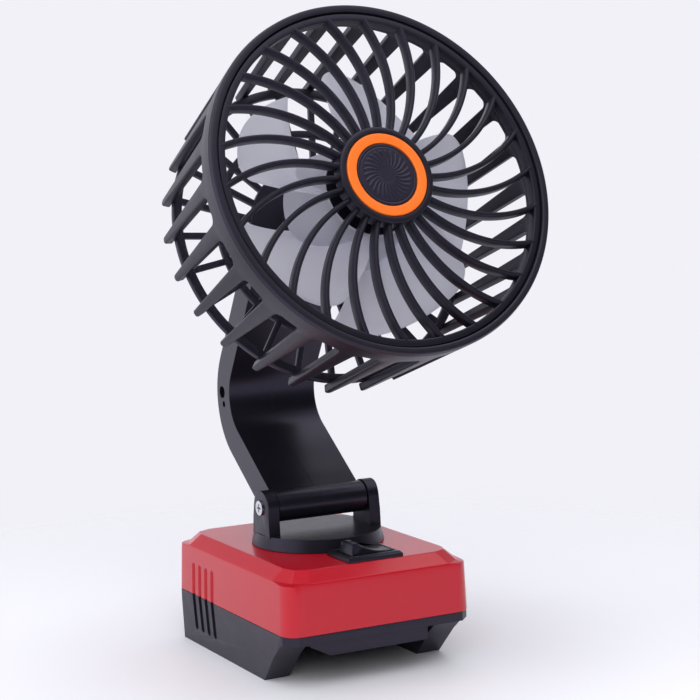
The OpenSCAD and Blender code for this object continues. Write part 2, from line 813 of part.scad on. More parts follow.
module hinge_nut() {
    color("silver") translate([0, 0, hinge_z]) nut();
}

module hinge_washers() {
    color("ivory") translate([0, 0, hinge_z]) washers();
}

// The arm seen from the side, as thick as the given value
module arm_side(thick) {
    translate(low_start) rotate(arm_slope) translate([0, -thick / 2]) square([arm_low_len, thick]);
    translate(high_start) rotate(high_slope) translate([0, -thick / 2]) square([arm_high_len, thick]);
    translate(bend_centre) intersection() {
        difference() {
            circle(r = bend_r + thick / 2, $fn = 96);
            circle(r = bend_r - thick / 2, $fn = 96);
        }
        rotate(bend_first) bend_sector();
    }
}

// A kite that covers the bend's angle and nothing beyond it
module bend_sector() {
    reach = 2 * (bend_r + arm_t);
    polygon([[0, 0], [reach, 0], [reach * cos(bend_turn / 2) * 1.2, reach * sin(bend_turn / 2) * 1.2],
        [reach * cos(bend_turn), reach * sin(bend_turn)]]);
}

module arm_barrels(radius) {
    for (at = [hinge_at, pivot_at]) translate(at) circle(r = radius);
}

module arm_half(side) {
    low_x = side < 0 ? -arm_w / 2 : 0;
    hollow_x = side < 0 ? -arm_w / 2 + arm_wall : -1;
    difference() {
        union() {
            difference() {
                across(low_x, low_x + arm_w / 2) {
                    arm_side(arm_t);
                    arm_barrels(barrel_r);
                }
                across(hollow_x, hollow_x + arm_w / 2 - arm_wall + 1) arm_side(arm_t - 2 * arm_wall);
            }
            across(low_x, low_x + arm_w / 2) {
                arm_barrels(barrel_r);
                for (at = [arm_screw_at, arm_screw_high_at]) translate(at) circle(r = arm_screw_boss_r);
            }
        }
        for (at = [hinge_at, pivot_at]) across(-arm_w, arm_w) translate(at) circle(r = bolt_r + run_gap);
        for (at = [arm_screw_at, arm_screw_high_at]) {
            across(-arm_w / 2 - 1, arm_w / 2 - arm_screw_end) translate(at)
                circle(r = small_screw_r + seat_gap);
            across(-arm_w / 2 - 1, -arm_w / 2 + arm_screw_depth) translate(at) circle(r = arm_screw_hole_r);
        }
        across(-arm_w / 2 - 1, -arm_w / 2 + arm_pin_deep) translate(arm_pin_at) circle(r = arm_pin_r);
        lead_route(lead_dia / 2 + seat_gap);
    }
}

module arm_left_half() {
    color("dimgray") arm_half(-1);
}

module arm_right_half() {
    color("dimgray") arm_half(1);
}

module arm_screws() {
    color("silver") for (at = [arm_screw_at, arm_screw_high_at]) difference() {
        union() {
            across(-arm_w / 2 + arm_screw_depth - arm_screw_head_t, -arm_w / 2 + arm_screw_depth)
                translate(at)
                circle(r = arm_screw_hole_r - 0.3);
            across(-arm_w / 2 + arm_screw_depth, arm_w / 2 - arm_screw_end - 1) translate(at)
                circle(r = small_screw_r);
        }
        across(-arm_w, -arm_w / 2 + arm_screw_depth - arm_screw_head_t / 2) translate(at)
            square([arm_slot_w, arm_slot_t], center = true);
        across(-arm_w, -arm_w / 2 + arm_screw_depth - arm_screw_head_t / 2) translate(at)
            square([arm_slot_t, arm_slot_w], center = true);
    }
}

// The lead's route along the arm's front wall, beside its screws, from one barrel to the other
module lead_route(radius) {
    translate([lead_x, 0, 0]) rotate([90, 0, 90]) {
        translate(low_start) rotate(arm_slope) translate([lead_end, lead_aside, 0]) rotate([0, 90, 0])
            cylinder(r = radius, h = arm_low_len - lead_end);
        translate(high_start) rotate(high_slope) translate([0, lead_aside, 0]) rotate([0, 90, 0])
            cylinder(r = radius, h = arm_high_len - lead_end);
        translate(bend_centre) rotate(bend_first) rotate_extrude(angle = bend_turn)
            translate([bend_r - lead_aside, 0]) circle(r = radius, $fn = 24);
    }
}

// The same route as points in the arm's plane, with the direction of the lead at each
lead_low = [for (i = [0 : 4]) low_start + (lead_end + (arm_low_len - lead_end) * i / 5) * low_dir
    + lead_aside * low_left];
lead_bend = [for (i = [0 : 16]) let (a = bend_first + bend_turn * i / 16)
    bend_centre + (bend_r - lead_aside) * [cos(a), sin(a)]];
lead_high = [for (i = [1 : 5]) high_start + (arm_high_len - lead_end) * i / 5 * high_dir
    + lead_aside * [-sin(high_slope), cos(high_slope)]];
lead_slopes = concat([for (i = [0 : 4]) arm_slope], [for (i = [0 : 16]) arm_slope + bend_turn * i / 16],
    [for (i = [1 : 5]) high_slope]);

module arm_lead() {
    path = concat(lead_low, lead_bend, lead_high);
    sides = 10;
    last = len(path) - 1;
    radius = lead_dia / 2;
    points = [for (i = [0 : last], k = [0 : sides - 1])
        let (a = 360 * k / sides, up = radius * cos(a))
        [lead_x + radius * sin(a), path[i][0] - up * sin(lead_slopes[i]),
            path[i][1] + up * cos(lead_slopes[i])]];
    walls = [for (i = [0 : last - 1], k = [0 : sides - 1])
        let (p = i * sides + k, q = i * sides + (k + 1) % sides)
        each [[p, p + sides, q + sides], [p, q + sides, q]]];
    ends = [[for (k = [0 : sides - 1]) k], [for (k = [sides - 1 : -1 : 0]) last * sides + k]];
    color("black") polyhedron(points, concat(walls, ends));
}

module head_bracket() {
    ear_len = pivot_back - plate_depth;
    color("black") head_frame() difference() {
        union() {
            at_depth(plate_depth + plate_t) cylinder(r = plate_r, h = plate_t);
            for (side = [-1, 1]) mirror([side < 0 ? 1 : 0, 0, 0]) across(ear_in, ear_out) {
                translate([-ear_r, -pivot_back]) square([2 * ear_r, ear_len - 1]);
                translate([0, -pivot_back]) circle(r = ear_r);
            }
        }
        at_depth(pivot_back) hinge_cuts();
        bracket_screw_places() translate([0, 0, -plate_t - 1]) cylinder(r = base_screw_r + seat_gap,
            h = plate_t + 2);
        at_depth(plate_depth + plate_t + 1) cylinder(r = wire_hole_r + 1, h = plate_t + 2);
    }
}

module bracket_screw_places() {
    for (turn = [45 : 90 : 315]) rotate(turn) translate([bracket_screw_at, 0, -plate_depth]) children();
}

module bracket_screws() {
    color("silver") head_frame() bracket_screw_places() difference() {
        union() {
            translate([0, 0, -plate_t - screw_head_t]) cylinder(r = screw_head_r, h = screw_head_t);
            translate([0, 0, -plate_t]) cylinder(r = base_screw_r, h = plate_t + rear_disc_t - 0.4);
        }
        cross_recess(-plate_t - screw_head_t);
    }
}

module pivot_bolt() {
    color("silver") head_frame() at_depth(pivot_back) bolt();
}

module pivot_nut() {
    color("silver") head_frame() at_depth(pivot_back) nut();
}

module pivot_washers() {
    color("ivory") translate([0, pivot_at[0], pivot_at[1]]) washers();
}

function cage_r(depth) = cage_front_r + (cage_rear_r - cage_front_r) * depth / cage_depth;

// The skirt at the front of the cage, with the ledge that the grille rests on
module cage_skirt() {
    rotate_extrude($fn = 128) polygon([
        [lip_in_r, cage_front], [lip_in_r + lip_flat, cage_front], [cage_front_r, -1],
        [cage_r(skirt_depth), -skirt_depth], [cage_r(skirt_depth) - cage_wall, -skirt_depth],
        [cage_r(ledge_depth) - cage_wall, -ledge_depth - 2], [rim_r - rim_shelf, -ledge_depth - 2],
        [rim_r - rim_shelf, -ledge_depth], [lip_in_r, -ledge_depth]]);
}

// A fin seen from the side: distance from the axis, then height along it
module fin_side() {
    start = skirt_depth - 2;
    polygon([[cage_r(start) - fin_inset, -start], [cage_rear_r - fin_inset, -cage_depth],
        [cage_rear_r - cage_wall + fin_inset, -cage_depth + 3],
        [cage_r(start) - cage_wall + fin_inset, -start]]);
}

// A fin seen from outside: it widens in two arcs into the skirt and tapers to its tip
module fin_face() {
    half = fin_w / 2 + gap_corner;
    arc_low = -skirt_depth - gap_corner + fin_sink;
    polygon(concat([[-half, -skirt_depth + 2], [half, -skirt_depth + 2]],
        [for (a = [0 : 15 : 90]) [half - gap_corner * sin(a), arc_low + gap_corner * cos(a)]],
        [[fin_tip_w / 2, -cage_depth + 1], [fin_tip_w / 4, -cage_depth], [-fin_tip_w / 4, -cage_depth],
            [-fin_tip_w / 2, -cage_depth + 1]],
        [for (a = [90 : -15 : 0]) [-half + gap_corner * sin(a), arc_low + gap_corner * cos(a)]]));
}

module fin() {
    intersection() {
        rotate([90, 0, 0]) translate([0, 0, -fin_w]) linear_extrude(2 * fin_w) fin_side();
        rotate([90, 0, 90]) linear_extrude(2 * cage_front_r) fin_face();
    }
}

module rear_rib() {
    translate([0, rib_w / 2, 0]) rotate([90, 0, 0]) linear_extrude(rib_w) polygon([
        [rear_disc_r - 1, -rear_disc_depth - 0.4], [hoop_out_r - 0.4, -hoop_depth - 0.1],
        [hoop_out_r - 0.4, -hoop_depth - rib_t + 0.1], [rear_disc_r - 1, -plate_depth + 0.4]]);
}

module rear_cage() {
    ring_depth = hoop_depth + (rear_disc_depth - hoop_depth) * (hoop_r - ring_r) / (hoop_r - rear_disc_r);
    color("black") head_frame() difference() {
        union() {
            cage_skirt();
            for (i = [0 : fin_count - 1]) rotate(fin_turn + i * pitch) {
                fin();
                rear_rib();
            }
            at_depth(hoop_depth + rib_t) ring(hoop_out_r, hoop_r - hoop_w, rib_t);
            at_depth(ring_depth + rib_t) ring(ring_r, ring_r - hoop_w, rib_t - 0.4);
            at_depth(plate_depth) cylinder(r = rear_disc_r, h = rear_disc_t);
            at_depth(rear_disc_depth + 1) ring(can_r + seat_gap + cup_wall, can_r + seat_gap, cup_len + 1);
        }
        bracket_screw_places() translate([0, 0, -1]) cylinder(r = base_screw_r + seat_gap,
            h = rear_disc_t + 2);
        at_depth(plate_depth + 1) cylinder(r = wire_hole_r + 1, h = plate_t + 2);
    }
}

// One spoke: an arc about a centre that stands ahead of the spoke's place on the rim
module spoke() {
    rotate(spoke_arc_ahead) translate([spoke_arc_from_axis, 0]) difference() {
        circle(r = spoke_arc_r + spoke_w / 2);
        circle(r = spoke_arc_r - spoke_w / 2);
    }
}

// The part of a spoke's circle that runs from the hub out to the rim
module spoke_sector() {
    polygon([[0, 0], [rim_r, -0.75 * rim_r], [rim_r, 0], [rim_r - rim_w / 2, 2 * spoke_w], [hub_r, 0]]);
}

module front_grille() {
    color("black") head_frame() {
        at_depth(rim_t) ring(rim_r, rim_r - rim_w, rim_t + 0.2);
        at_depth(spoke_t) for (i = [0 : fin_count - 1]) rotate(spoke_turn + i * pitch)
            linear_extrude(spoke_t) intersection() {
                spoke();
                difference() {
                    circle(r = rim_r - rim_w / 2);
                    circle(r = hub_r - 1);
                }
                spoke_sector();
            }
        difference() {
            at_depth(cup_t - hub_proud) cylinder(r = hub_r, h = cup_t);
            at_depth(cup_t) cylinder(r = hub_r - 2, h = cup_t - face_t + hub_proud);
            at_depth(-hub_proud + accent_t) cylinder(r = accent_r, h = accent_t + 1);
        }
    }
}

module accent_ring() {
    color("darkorange") head_frame()
        at_depth(-hub_proud + accent_t) ring(accent_r - seat_gap / 2, cap_r, accent_t + 0.2);
}

module centre_cap() {
    color("black") head_frame() at_depth(-hub_proud + accent_t) cylinder(r = cap_r - seat_gap / 2, h = cap_t);
}

// Outer radius of the impeller's conical hub at a depth
function cone_r(depth) = cone_front_r
    + (cone_rear_r - cone_front_r) * (depth - cone_front_depth) / (cone_rear_depth - cone_front_depth);

// Rise of a blade from its front edge at 0 to its rear edge at 1
function blade_rise(t) = (1 - cos(180 * pow(t, 0.75))) / 2;

// Depth of a blade's front edge at a radius: the edge swings forward near the hub
function front_edge_depth(r) = blade_front_root_depth
    + (blade_front_depth - blade_front_root_depth) * pow(max(0, r - 20) / (blade_r - 20), 2.4);

// Angle of a blade at a radius, from its front edge at 0 to its rear edge at 1
function blade_turn(t, r) =
    let (front = (blade_r - r) * 0.5, rear = -blade_sweep + (blade_r - r) * 0.69)
    front + (rear - front) * t;

function blade_depth(t, r) = front_edge_depth(r) + (cone_rear_depth - front_edge_depth(r)) * blade_rise(t);

// A point of the blade's middle surface, moved along the axis by the given amount
function blade_point(t, v, shift) =
    let (root = cone_r(max(cone_front_depth, blade_depth(t, cone_front_r))) - 0.8,
        r = root + (blade_r - root) * v,
        a = blade_turn(t, r))
    [r * cos(a), r * sin(a), -blade_depth(t, r) + shift];

module blade() {
    along = 12;
    out = 6;
    row = out + 1;
    side = (along + 1) * row;
    points = [for (shift = [-blade_t / 2, blade_t / 2], i = [0 : along], j = [0 : out])
        blade_point(i / along, j / out, shift)];
    lower = [for (i = [0 : along - 1], j = [0 : out - 1])
        let (p = i * row + j) each [[p, p + row, p + row + 1], [p, p + row + 1, p + 1]]];
    upper = [for (f = lower) [f[0] + side, f[2] + side, f[1] + side]];
    tips = [for (i = [0 : along - 1])
        let (p = i * row + out) each [[p, p + row, p + row + side], [p, p + row + side, p + side]]];
    roots = [for (i = [0 : along - 1])
        let (p = i * row) each [[p, p + row + side, p + row], [p, p + side, p + row + side]]];
    fronts = [for (j = [0 : out - 1]) each [[j, j + 1, j + 1 + side], [j, j + 1 + side, j + side]]];
    rears = [for (j = [0 : out - 1])
        let (p = along * row + j) each [[p, p + 1 + side, p + 1], [p, p + side, p + 1 + side]]];
    polyhedron(points, concat(lower, upper, tips, roots, fronts, rears));
}

module impeller() {
    color("gainsboro") head_frame() {
        for (i = [0 : blade_count - 1]) rotate(blade_first + i * 360 / blade_count) blade();
        difference() {
            union() {
                rotate_extrude() polygon([
                    [cone_front_r - cone_wall, -cone_front_depth], [cone_front_r, -cone_front_depth],
                    [cone_rear_r, -cone_rear_depth], [cone_rear_r - cone_wall, -cone_rear_depth]]);
                at_depth(web_depth + web_t) cylinder(r = cone_r(web_depth) - cone_wall / 2, h = web_t);
                at_depth(web_depth + hub_boss_len) cylinder(r = hub_boss_r, h = hub_boss_len);
            }
            at_depth(cone_rear_depth) cylinder(r = shaft_r + seat_gap / 2, h = cone_rear_depth);
        }
    }
}

module impeller_cap() {
    color("black") head_frame() difference() {
        union() {
            at_depth(web_depth) cylinder(r = cone_front_r - cone_wall - window_gap, h = lock_cap_t);
            at_depth(web_depth) cylinder(r = hub_boss_r + collar_w, h = lock_cap_t + collar_t);
        }
        at_depth(web_depth + 1) cylinder(r = shaft_r + seat_gap / 2, h = lock_cap_t + 4);
    }
}

module motor_can() {
    color("silver") head_frame() difference() {
        union() {
            at_depth(can_rear_depth) cylinder(r = can_r, h = can_len);
            at_depth(can_front_depth) cylinder(r = bushing_r + collar_w, h = collar_t);
        }
        at_depth(can_rear_depth + 1) cylinder(r = can_r - can_wall, h = can_len - can_wall + 1);
        at_depth(can_rear_depth + 1) cylinder(r = bushing_r + seat_gap / 2, h = can_len + 4);
    }
}

module motor_end_cap() {
    color("black") head_frame() difference() {
        at_depth(can_rear_depth) cylinder(r = can_r - can_wall - seat_gap / 2, h = end_cap_len);
        at_depth(can_rear_depth - end_cap_wall) cylinder(r = can_r - can_wall - collar_w, h = end_cap_len);
        at_depth(can_rear_depth + 1) cylinder(r = bushing_r + seat_gap / 2, h = end_cap_len + 2);
    }
}

module motor_magnets() {
    outer = can_r - can_wall - seat_gap / 2;
    color("dimgray") head_frame() at_depth(core_depth + core_len) intersection() {
        ring(outer, magnet_in_r, core_len);
        for (side = [-1, 1]) mirror([side < 0 ? 1 : 0, 0, 0])
            translate([outer * magnet_half, -outer, -1]) cube([outer, 2 * outer, core_len + 2]);
    }
}

module motor_brushes() {
    color("goldenrod") head_frame() for (side = [-1, 1]) mirror([0, side < 0 ? 1 : 0, 0])
        translate([-brush_t / 2, commutator_r + slide_gap, -commutator_depth + 0.8])
            cube([brush_t, can_r - can_wall - brush_end - commutator_r - slide_gap, brush_t]);
}

module motor_bushings() {
    color("goldenrod") head_frame() for (depth = [can_front_depth + can_wall, can_rear_depth])
        at_depth(depth) ring(bushing_r, shaft_r + run_gap, bushing_len);
}

module motor_armature() {
    slots = 5;
    color("gray") head_frame() at_depth(core_depth + core_len) difference() {
        cylinder(r = core_r, h = core_len);
        for (i = [0 : slots - 1]) rotate(i * 360 / slots)
            translate([slot_floor_r, -slot_w / 2, -1]) cube([core_r, slot_w, core_len + 2]);
        translate([0, 0, -1]) cylinder(r = shaft_r + seat_gap / 2, h = core_len + 2);
    }
}

module motor_windings() {
    color("sienna") head_frame() for (depth = [core_depth - seat_gap, core_depth + core_len + winding_len])
        at_depth(depth) ring(core_r - 1, shaft_r + 2, winding_len - seat_gap);
}

module motor_commutator() {
    color("goldenrod") head_frame() at_depth(commutator_depth)
        ring(commutator_r, shaft_r + seat_gap / 2, commutator_len);
}

module motor_shaft() {
    color("silver") head_frame() at_depth(can_rear_depth) cylinder(r = shaft_r,
        h = can_rear_depth - shaft_front_depth);
}

base_lower_shell();
base_upper_shell();
base_screws();
terminal_block();
terminal_blades();
battery_leads();
control_board();
board_parts();
switch_housing();
switch_rocker();
switch_tabs();
turntable();
turntable_washer();
turntable_retainer();
turntable_screws();
hinge_bolt();
hinge_nut();
hinge_washers();
arm_left_half();
arm_right_half();
arm_screws();
arm_lead();
head_bracket();
bracket_screws();
pivot_bolt();
pivot_nut();
pivot_washers();
rear_cage();
front_grille();
accent_ring();
centre_cap();
impeller();
impeller_cap();
motor_can();
motor_end_cap();
motor_magnets();
motor_brushes();
motor_bushings();
motor_armature();
motor_windings();
motor_commutator();
motor_shaft();
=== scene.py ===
"""Cordless jobsite fan: the dressed model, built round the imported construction.

Sizes are in millimetres until a mesh is made; the row frame is in metres. The head's own frame
has X to the right, Y up across the face and depth backwards along the fan's axis.
"""
import json
import logging
import math
from collections.abc import Callable
from dataclasses import dataclass
from enum import Enum

import bmesh
import bpy
import numpy as np
from mathutils import Matrix, Vector


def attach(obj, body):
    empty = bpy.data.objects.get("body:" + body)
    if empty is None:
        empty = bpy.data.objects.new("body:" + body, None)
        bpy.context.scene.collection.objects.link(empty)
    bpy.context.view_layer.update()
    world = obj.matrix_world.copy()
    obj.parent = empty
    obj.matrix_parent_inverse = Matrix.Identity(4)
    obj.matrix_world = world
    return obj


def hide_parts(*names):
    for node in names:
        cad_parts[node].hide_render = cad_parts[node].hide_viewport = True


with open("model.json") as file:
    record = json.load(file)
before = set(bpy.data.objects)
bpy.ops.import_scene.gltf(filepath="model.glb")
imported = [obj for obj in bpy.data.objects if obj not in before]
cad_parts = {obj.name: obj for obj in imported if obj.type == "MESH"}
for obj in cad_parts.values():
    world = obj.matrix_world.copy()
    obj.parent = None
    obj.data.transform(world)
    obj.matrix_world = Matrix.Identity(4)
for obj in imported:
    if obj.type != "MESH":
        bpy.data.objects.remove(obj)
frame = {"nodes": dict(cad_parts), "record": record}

MM = 0.001
TAU = 2 * math.pi
RIM_STEPS = 260      # steps round the large circles
HAIR = 0.02          # radius in mm of the pinhole that stands for a point on an axis
TINY = 1e-6          # what counts as nothing in a length or an angle
FILLET_SHARE = 0.49  # largest share of a side that a fillet may take
MERGE_M = 2e-6       # points of a copy closer than this become one
FLAT_DEG = 0.6       # faces of a copy that turn less than this become one
LOG = logging.getLogger("fan")


class Body(Enum):
    """The rigid bodies that pieces ride on."""

    BASE = "base"
    TURNTABLE = "turntable"
    ARM = "arm"
    HEAD = "head"
    ROTOR = "rotor"
    ROCKER = "rocker"


def arc_corners(corners: list[tuple[float, float, float]], steps: int = 5) -> np.ndarray:
    """Rounds the corners of a closed outline with true arcs.

    Each corner (x, y, radius) becomes an arc that is tangent to both of its sides: the arc's centre
    lies on the corner's bisector, radius / sin(half angle) from the corner.

    Args:
        corners: Corner points in order, each with its fillet radius.
        steps: Number of arc points less one at each rounded corner.

    Returns:
        The outline as an (n, 2) array.
    """
    out = []
    count = len(corners)
    for i, (x, y, radius) in enumerate(corners):
        here = np.array([x, y])
        before = np.array(corners[i - 1][:2]) - here
        after = np.array(corners[(i + 1) % count][:2]) - here
        len_before, len_after = np.linalg.norm(before), np.linalg.norm(after)
        before, after = before / len_before, after / len_after
        half = math.acos(float(np.clip(before @ after, -1, 1))) / 2
        reach = radius / math.tan(half) if half > TINY else 0.0
        limit = FILLET_SHARE * min(len_before, len_after)
        if radius <= 0 or half > math.pi / 2 - 1e-3:
            out.append(here[None])
            continue
        if reach > limit:
            radius, reach = radius * limit / reach, limit
        centre = here + (before + after) / np.linalg.norm(before + after) * radius / math.sin(half)
        first = here + before * reach - centre
        last = here + after * reach - centre
        sweep = math.pi - 2 * half
        t = np.linspace(0, 1, steps + 1)[:, None]
        out.append(centre + (np.sin((1 - t) * sweep) * first + np.sin(t * sweep) * last) / math.sin(sweep))
    return np.concatenate(out)


def offset_outline(outline: np.ndarray, inset: float) -> np.ndarray:
    """Moves a closed, counter-clockwise outline inwards.

    Each point moves along the mean of its two edges' inward normals, lengthened so that both
    edges keep the same distance.

    Args:
        outline: Closed outline, (n, 2).
        inset: Distance to move inwards.

    Returns:
        The moved outline, (n, 2).
    """
    ahead = np.roll(outline, -1, axis=0) - outline
    ahead /= np.maximum(np.linalg.norm(ahead, axis=1, keepdims=True), 1e-9)
    normal = np.stack([-ahead[:, 1], ahead[:, 0]], 1)
    mean = normal + np.roll(normal, 1, axis=0)
    mean /= np.maximum(np.linalg.norm(mean, axis=1, keepdims=True), 1e-9)
    stretch = np.maximum((mean * normal).sum(1, keepdims=True), 0.5)
    return outline + inset * mean / stretch


def grid_faces(rows: int, cols: int, wrap_rows: bool, wrap_cols: bool) -> np.ndarray:
    """Quads of a grid of points stored row by row.

    Args:
        rows: Number of rows.
        cols: Number of columns.
        wrap_rows: Whether the last row joins the first.
        wrap_cols: Whether the last column joins the first.

    Returns:
        Indices of the quads, (n, 4).
    """
    i = np.arange(rows if wrap_rows else rows - 1)[:, None]
    j = np.arange(cols if wrap_cols else cols - 1)[None, :]
    i2, j2 = (i + 1) % rows, (j + 1) % cols
    quads = np.stack(np.broadcast_arrays(i * cols + j, i2 * cols + j, i2 * cols + j2, i * cols + j2), -1)
    return quads.reshape(-1, 4)


@dataclass
class Surface:
    """A closed surface: points in millimetres and faces as lists of indices."""

    points: np.ndarray
    faces: list[list[int]]

    def joined(self, *others: "Surface") -> "Surface":
        """Puts other surfaces into the same mesh.

        Args:
            others: Surfaces to add, each closed by itself.

        Returns:
            All of them as one surface.
        """
        points, faces, shift = [self.points], list(self.faces), len(self.points)
        for other in others:
            faces += [[k + shift for k in face] for face in other.faces]
            points.append(other.points)
            shift += len(other.points)
        return Surface(np.concatenate(points), faces)

    def flipped(self) -> "Surface":
        """The same surface with its faces turned over."""
        return Surface(self.points, [face[::-1] for face in self.faces])

    def mapped(self, place: Callable[[np.ndarray], np.ndarray]) -> "Surface":
        """The same surface with its points sent through a function and its faces pointing out."""
        return Surface(place(self.points), self.faces).outward()

    def volume(self) -> float:
        """Adds up the tetrahedra from the origin to each face's fan of triangles.

        Returns:
            The volume in cubic millimetres, negative when the faces point in.
        """
        total = 0.0
        for size in {len(face) for face in self.faces}:
            block = self.points[np.array([face for face in self.faces if len(face) == size])]
            for k in range(1, size - 1):
                normal = np.cross(block[:, k], block[:, k + 1])
                total += np.einsum("ij,ij->i", block[:, 0], normal).sum() / 6
        return total

    def outward(self) -> "Surface":
        """The same surface with its faces pointing out."""
        return self if self.volume() > 0 else self.flipped()


def revolved(profile: np.ndarray, segments: int = 192) -> Surface:
    """Turns a closed profile round the axis.

    The point at profile place s and angle a is (r(s) cos a, r(s) sin a, depth(s)). Profile points
    on the axis are moved a hair off it, and their ring is closed by one face.

    Args:
        profile: Radius and depth along the profile, (n, 2). It closes on itself, or else both of
            its ends lie on the axis.
        segments: Number of steps round the axis.

    Returns:
        A closed surface in the axis's frame.
    """
    on_axis = profile[0, 0] < TINY and profile[-1, 0] < TINY
    radius = np.maximum(profile[:, 0], HAIR)
    angle = np.arange(segments) * TAU / segments
    points = np.stack([radius[:, None] * np.cos(angle), radius[:, None] * np.sin(angle),
                       np.broadcast_to(profile[:, 1:], (len(profile), segments))], -1).reshape(-1, 3)
    faces = grid_faces(len(profile), segments, not on_axis, True).tolist()
    if on_axis:
        faces.append(list(range(segments)))
        faces.append(list(range((len(profile) - 1) * segments, len(profile) * segments))[::-1])
    return Surface(points, faces).outward()


def lofted(sections: np.ndarray) -> Surface:
    """Skins closed sections, one after another, and closes both ends with one face each.

    Args:
        sections: Points of the sections, (sections, points, 3).

    Returns:
        A closed surface.
    """
    rows, cols = sections.shape[:2]
    faces = grid_faces(rows, cols, False, True).tolist()
    faces.append(list(range(cols)))
    faces.append(list(range((rows - 1) * cols, rows * cols))[::-1])
    return Surface(sections.reshape(-1, 3), faces).outward()


def slab(outline: np.ndarray, low: float, high: float, round_low: float, round_high: float,
         steps: int = 4) -> Surface:
    """A flat outline made thick, with quarter-round edges.

    Near each face, at a height h below it, the outline is drawn in by radius - sqrt(radius^2 -
    (radius - h)^2), which rounds the edge as a quarter circle.

    Args:
        outline: Closed counter-clockwise outline, (n, 2).
        low: Height of the lower face.
        high: Height of the upper face.
        round_low: Radius of the lower edge.
        round_high: Radius of the upper edge.
        steps: Steps in each quarter round.

    Returns:
        A closed surface with its thickness along Z.
    """
    turn = np.linspace(0, math.pi / 2, steps + 1)
    insets = np.concatenate([round_low * (1 - np.sin(turn)), round_high * (1 - np.cos(turn))])
    heights = np.concatenate([low + round_low * (1 - np.cos(turn)), high - round_high * (1 - np.sin(turn))])
    rings = [np.column_stack([offset_outline(outline, inset), np.full(len(outline), height)])
             for inset, height in zip(insets, heights)]
    return lofted(np.array(rings))


def repeated(surface: Surface, count: int, first: float = 0.0) -> Surface:
    """Copies a surface round the axis.

    Args:
        surface: Surface in an axis's frame.
        count: Number of copies.
        first: Angle of the first copy in degrees.

    Returns:
        All copies as one mesh.
    """
    copies = []
    for i in range(count):
        a = math.radians(first + i * 360 / count)
        turn = np.array([[math.cos(a), math.sin(a), 0], [-math.sin(a), math.cos(a), 0], [0, 0, 1]])
        copies.append(Surface(surface.points @ turn, surface.faces))
    return copies[0].joined(*copies[1:])


def piece(name: str, surface: Surface, body: Body, material: bpy.types.Material,
          replaced: tuple[str, ...] = (), crease_deg: float = 35.0) -> bpy.types.Object:
    """Makes a finished piece from a surface and ties it to the frame.

    Faces of more than four corners close an end and stay flat; all others are shaded smooth.

    Args:
        name: Name of the piece.
        surface: Closed surface in the row frame, in millimetres.
        body: Body that the piece rides on.
        material: Finish of the piece.
        replaced: Nodes of the frame that the piece stands for.
        crease_deg: Edges sharper than this stay crisp.

    Returns:
        The object.
    """
    mesh = bpy.data.meshes.new(name)
    mesh.from_pydata((surface.points * MM).tolist(), [], surface.faces)
    mesh.validate()
    corners = np.empty(len(mesh.polygons), dtype=np.int32)
    mesh.polygons.foreach_get("loop_total", corners)
    mesh.polygons.foreach_set("use_smooth", corners <= 4)
    mesh.set_sharp_from_angle(angle=math.radians(crease_deg))
    mesh.update()
    mesh.materials.append(material)
    obj = bpy.data.objects.new(name, mesh)
    bpy.context.scene.collection.objects.link(obj)
    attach(obj, body.value)
    if replaced:
        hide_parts(*replaced)
    LOG.info("%s: %d points, %d faces", name, len(mesh.vertices), len(mesh.polygons))
    return obj


def srgb(text: str) -> tuple[float, float, float, float]:
    """Turns a written colour into the shader's linear values.

    Args:
        text: Six hex digits: red, green and blue.

    Returns:
        Red, green, blue and an opacity of 1, from 0 to 1.
    """
    values = [int(text[i:i + 2], 16) / 255 for i in (0, 2, 4)]
    linear = [v / 12.92 if v <= 0.04045 else ((v + 0.055) / 1.055) ** 2.4 for v in values]
    return linear[0], linear[1], linear[2], 1.0


BUMP_MM = 0.1       # height of the fine relief
COAT_ROUGH = 0.12   # roughness of the clear coat
GLOSS_SHARE = 0.37  # size of the gloss patches as a share of the colour patches


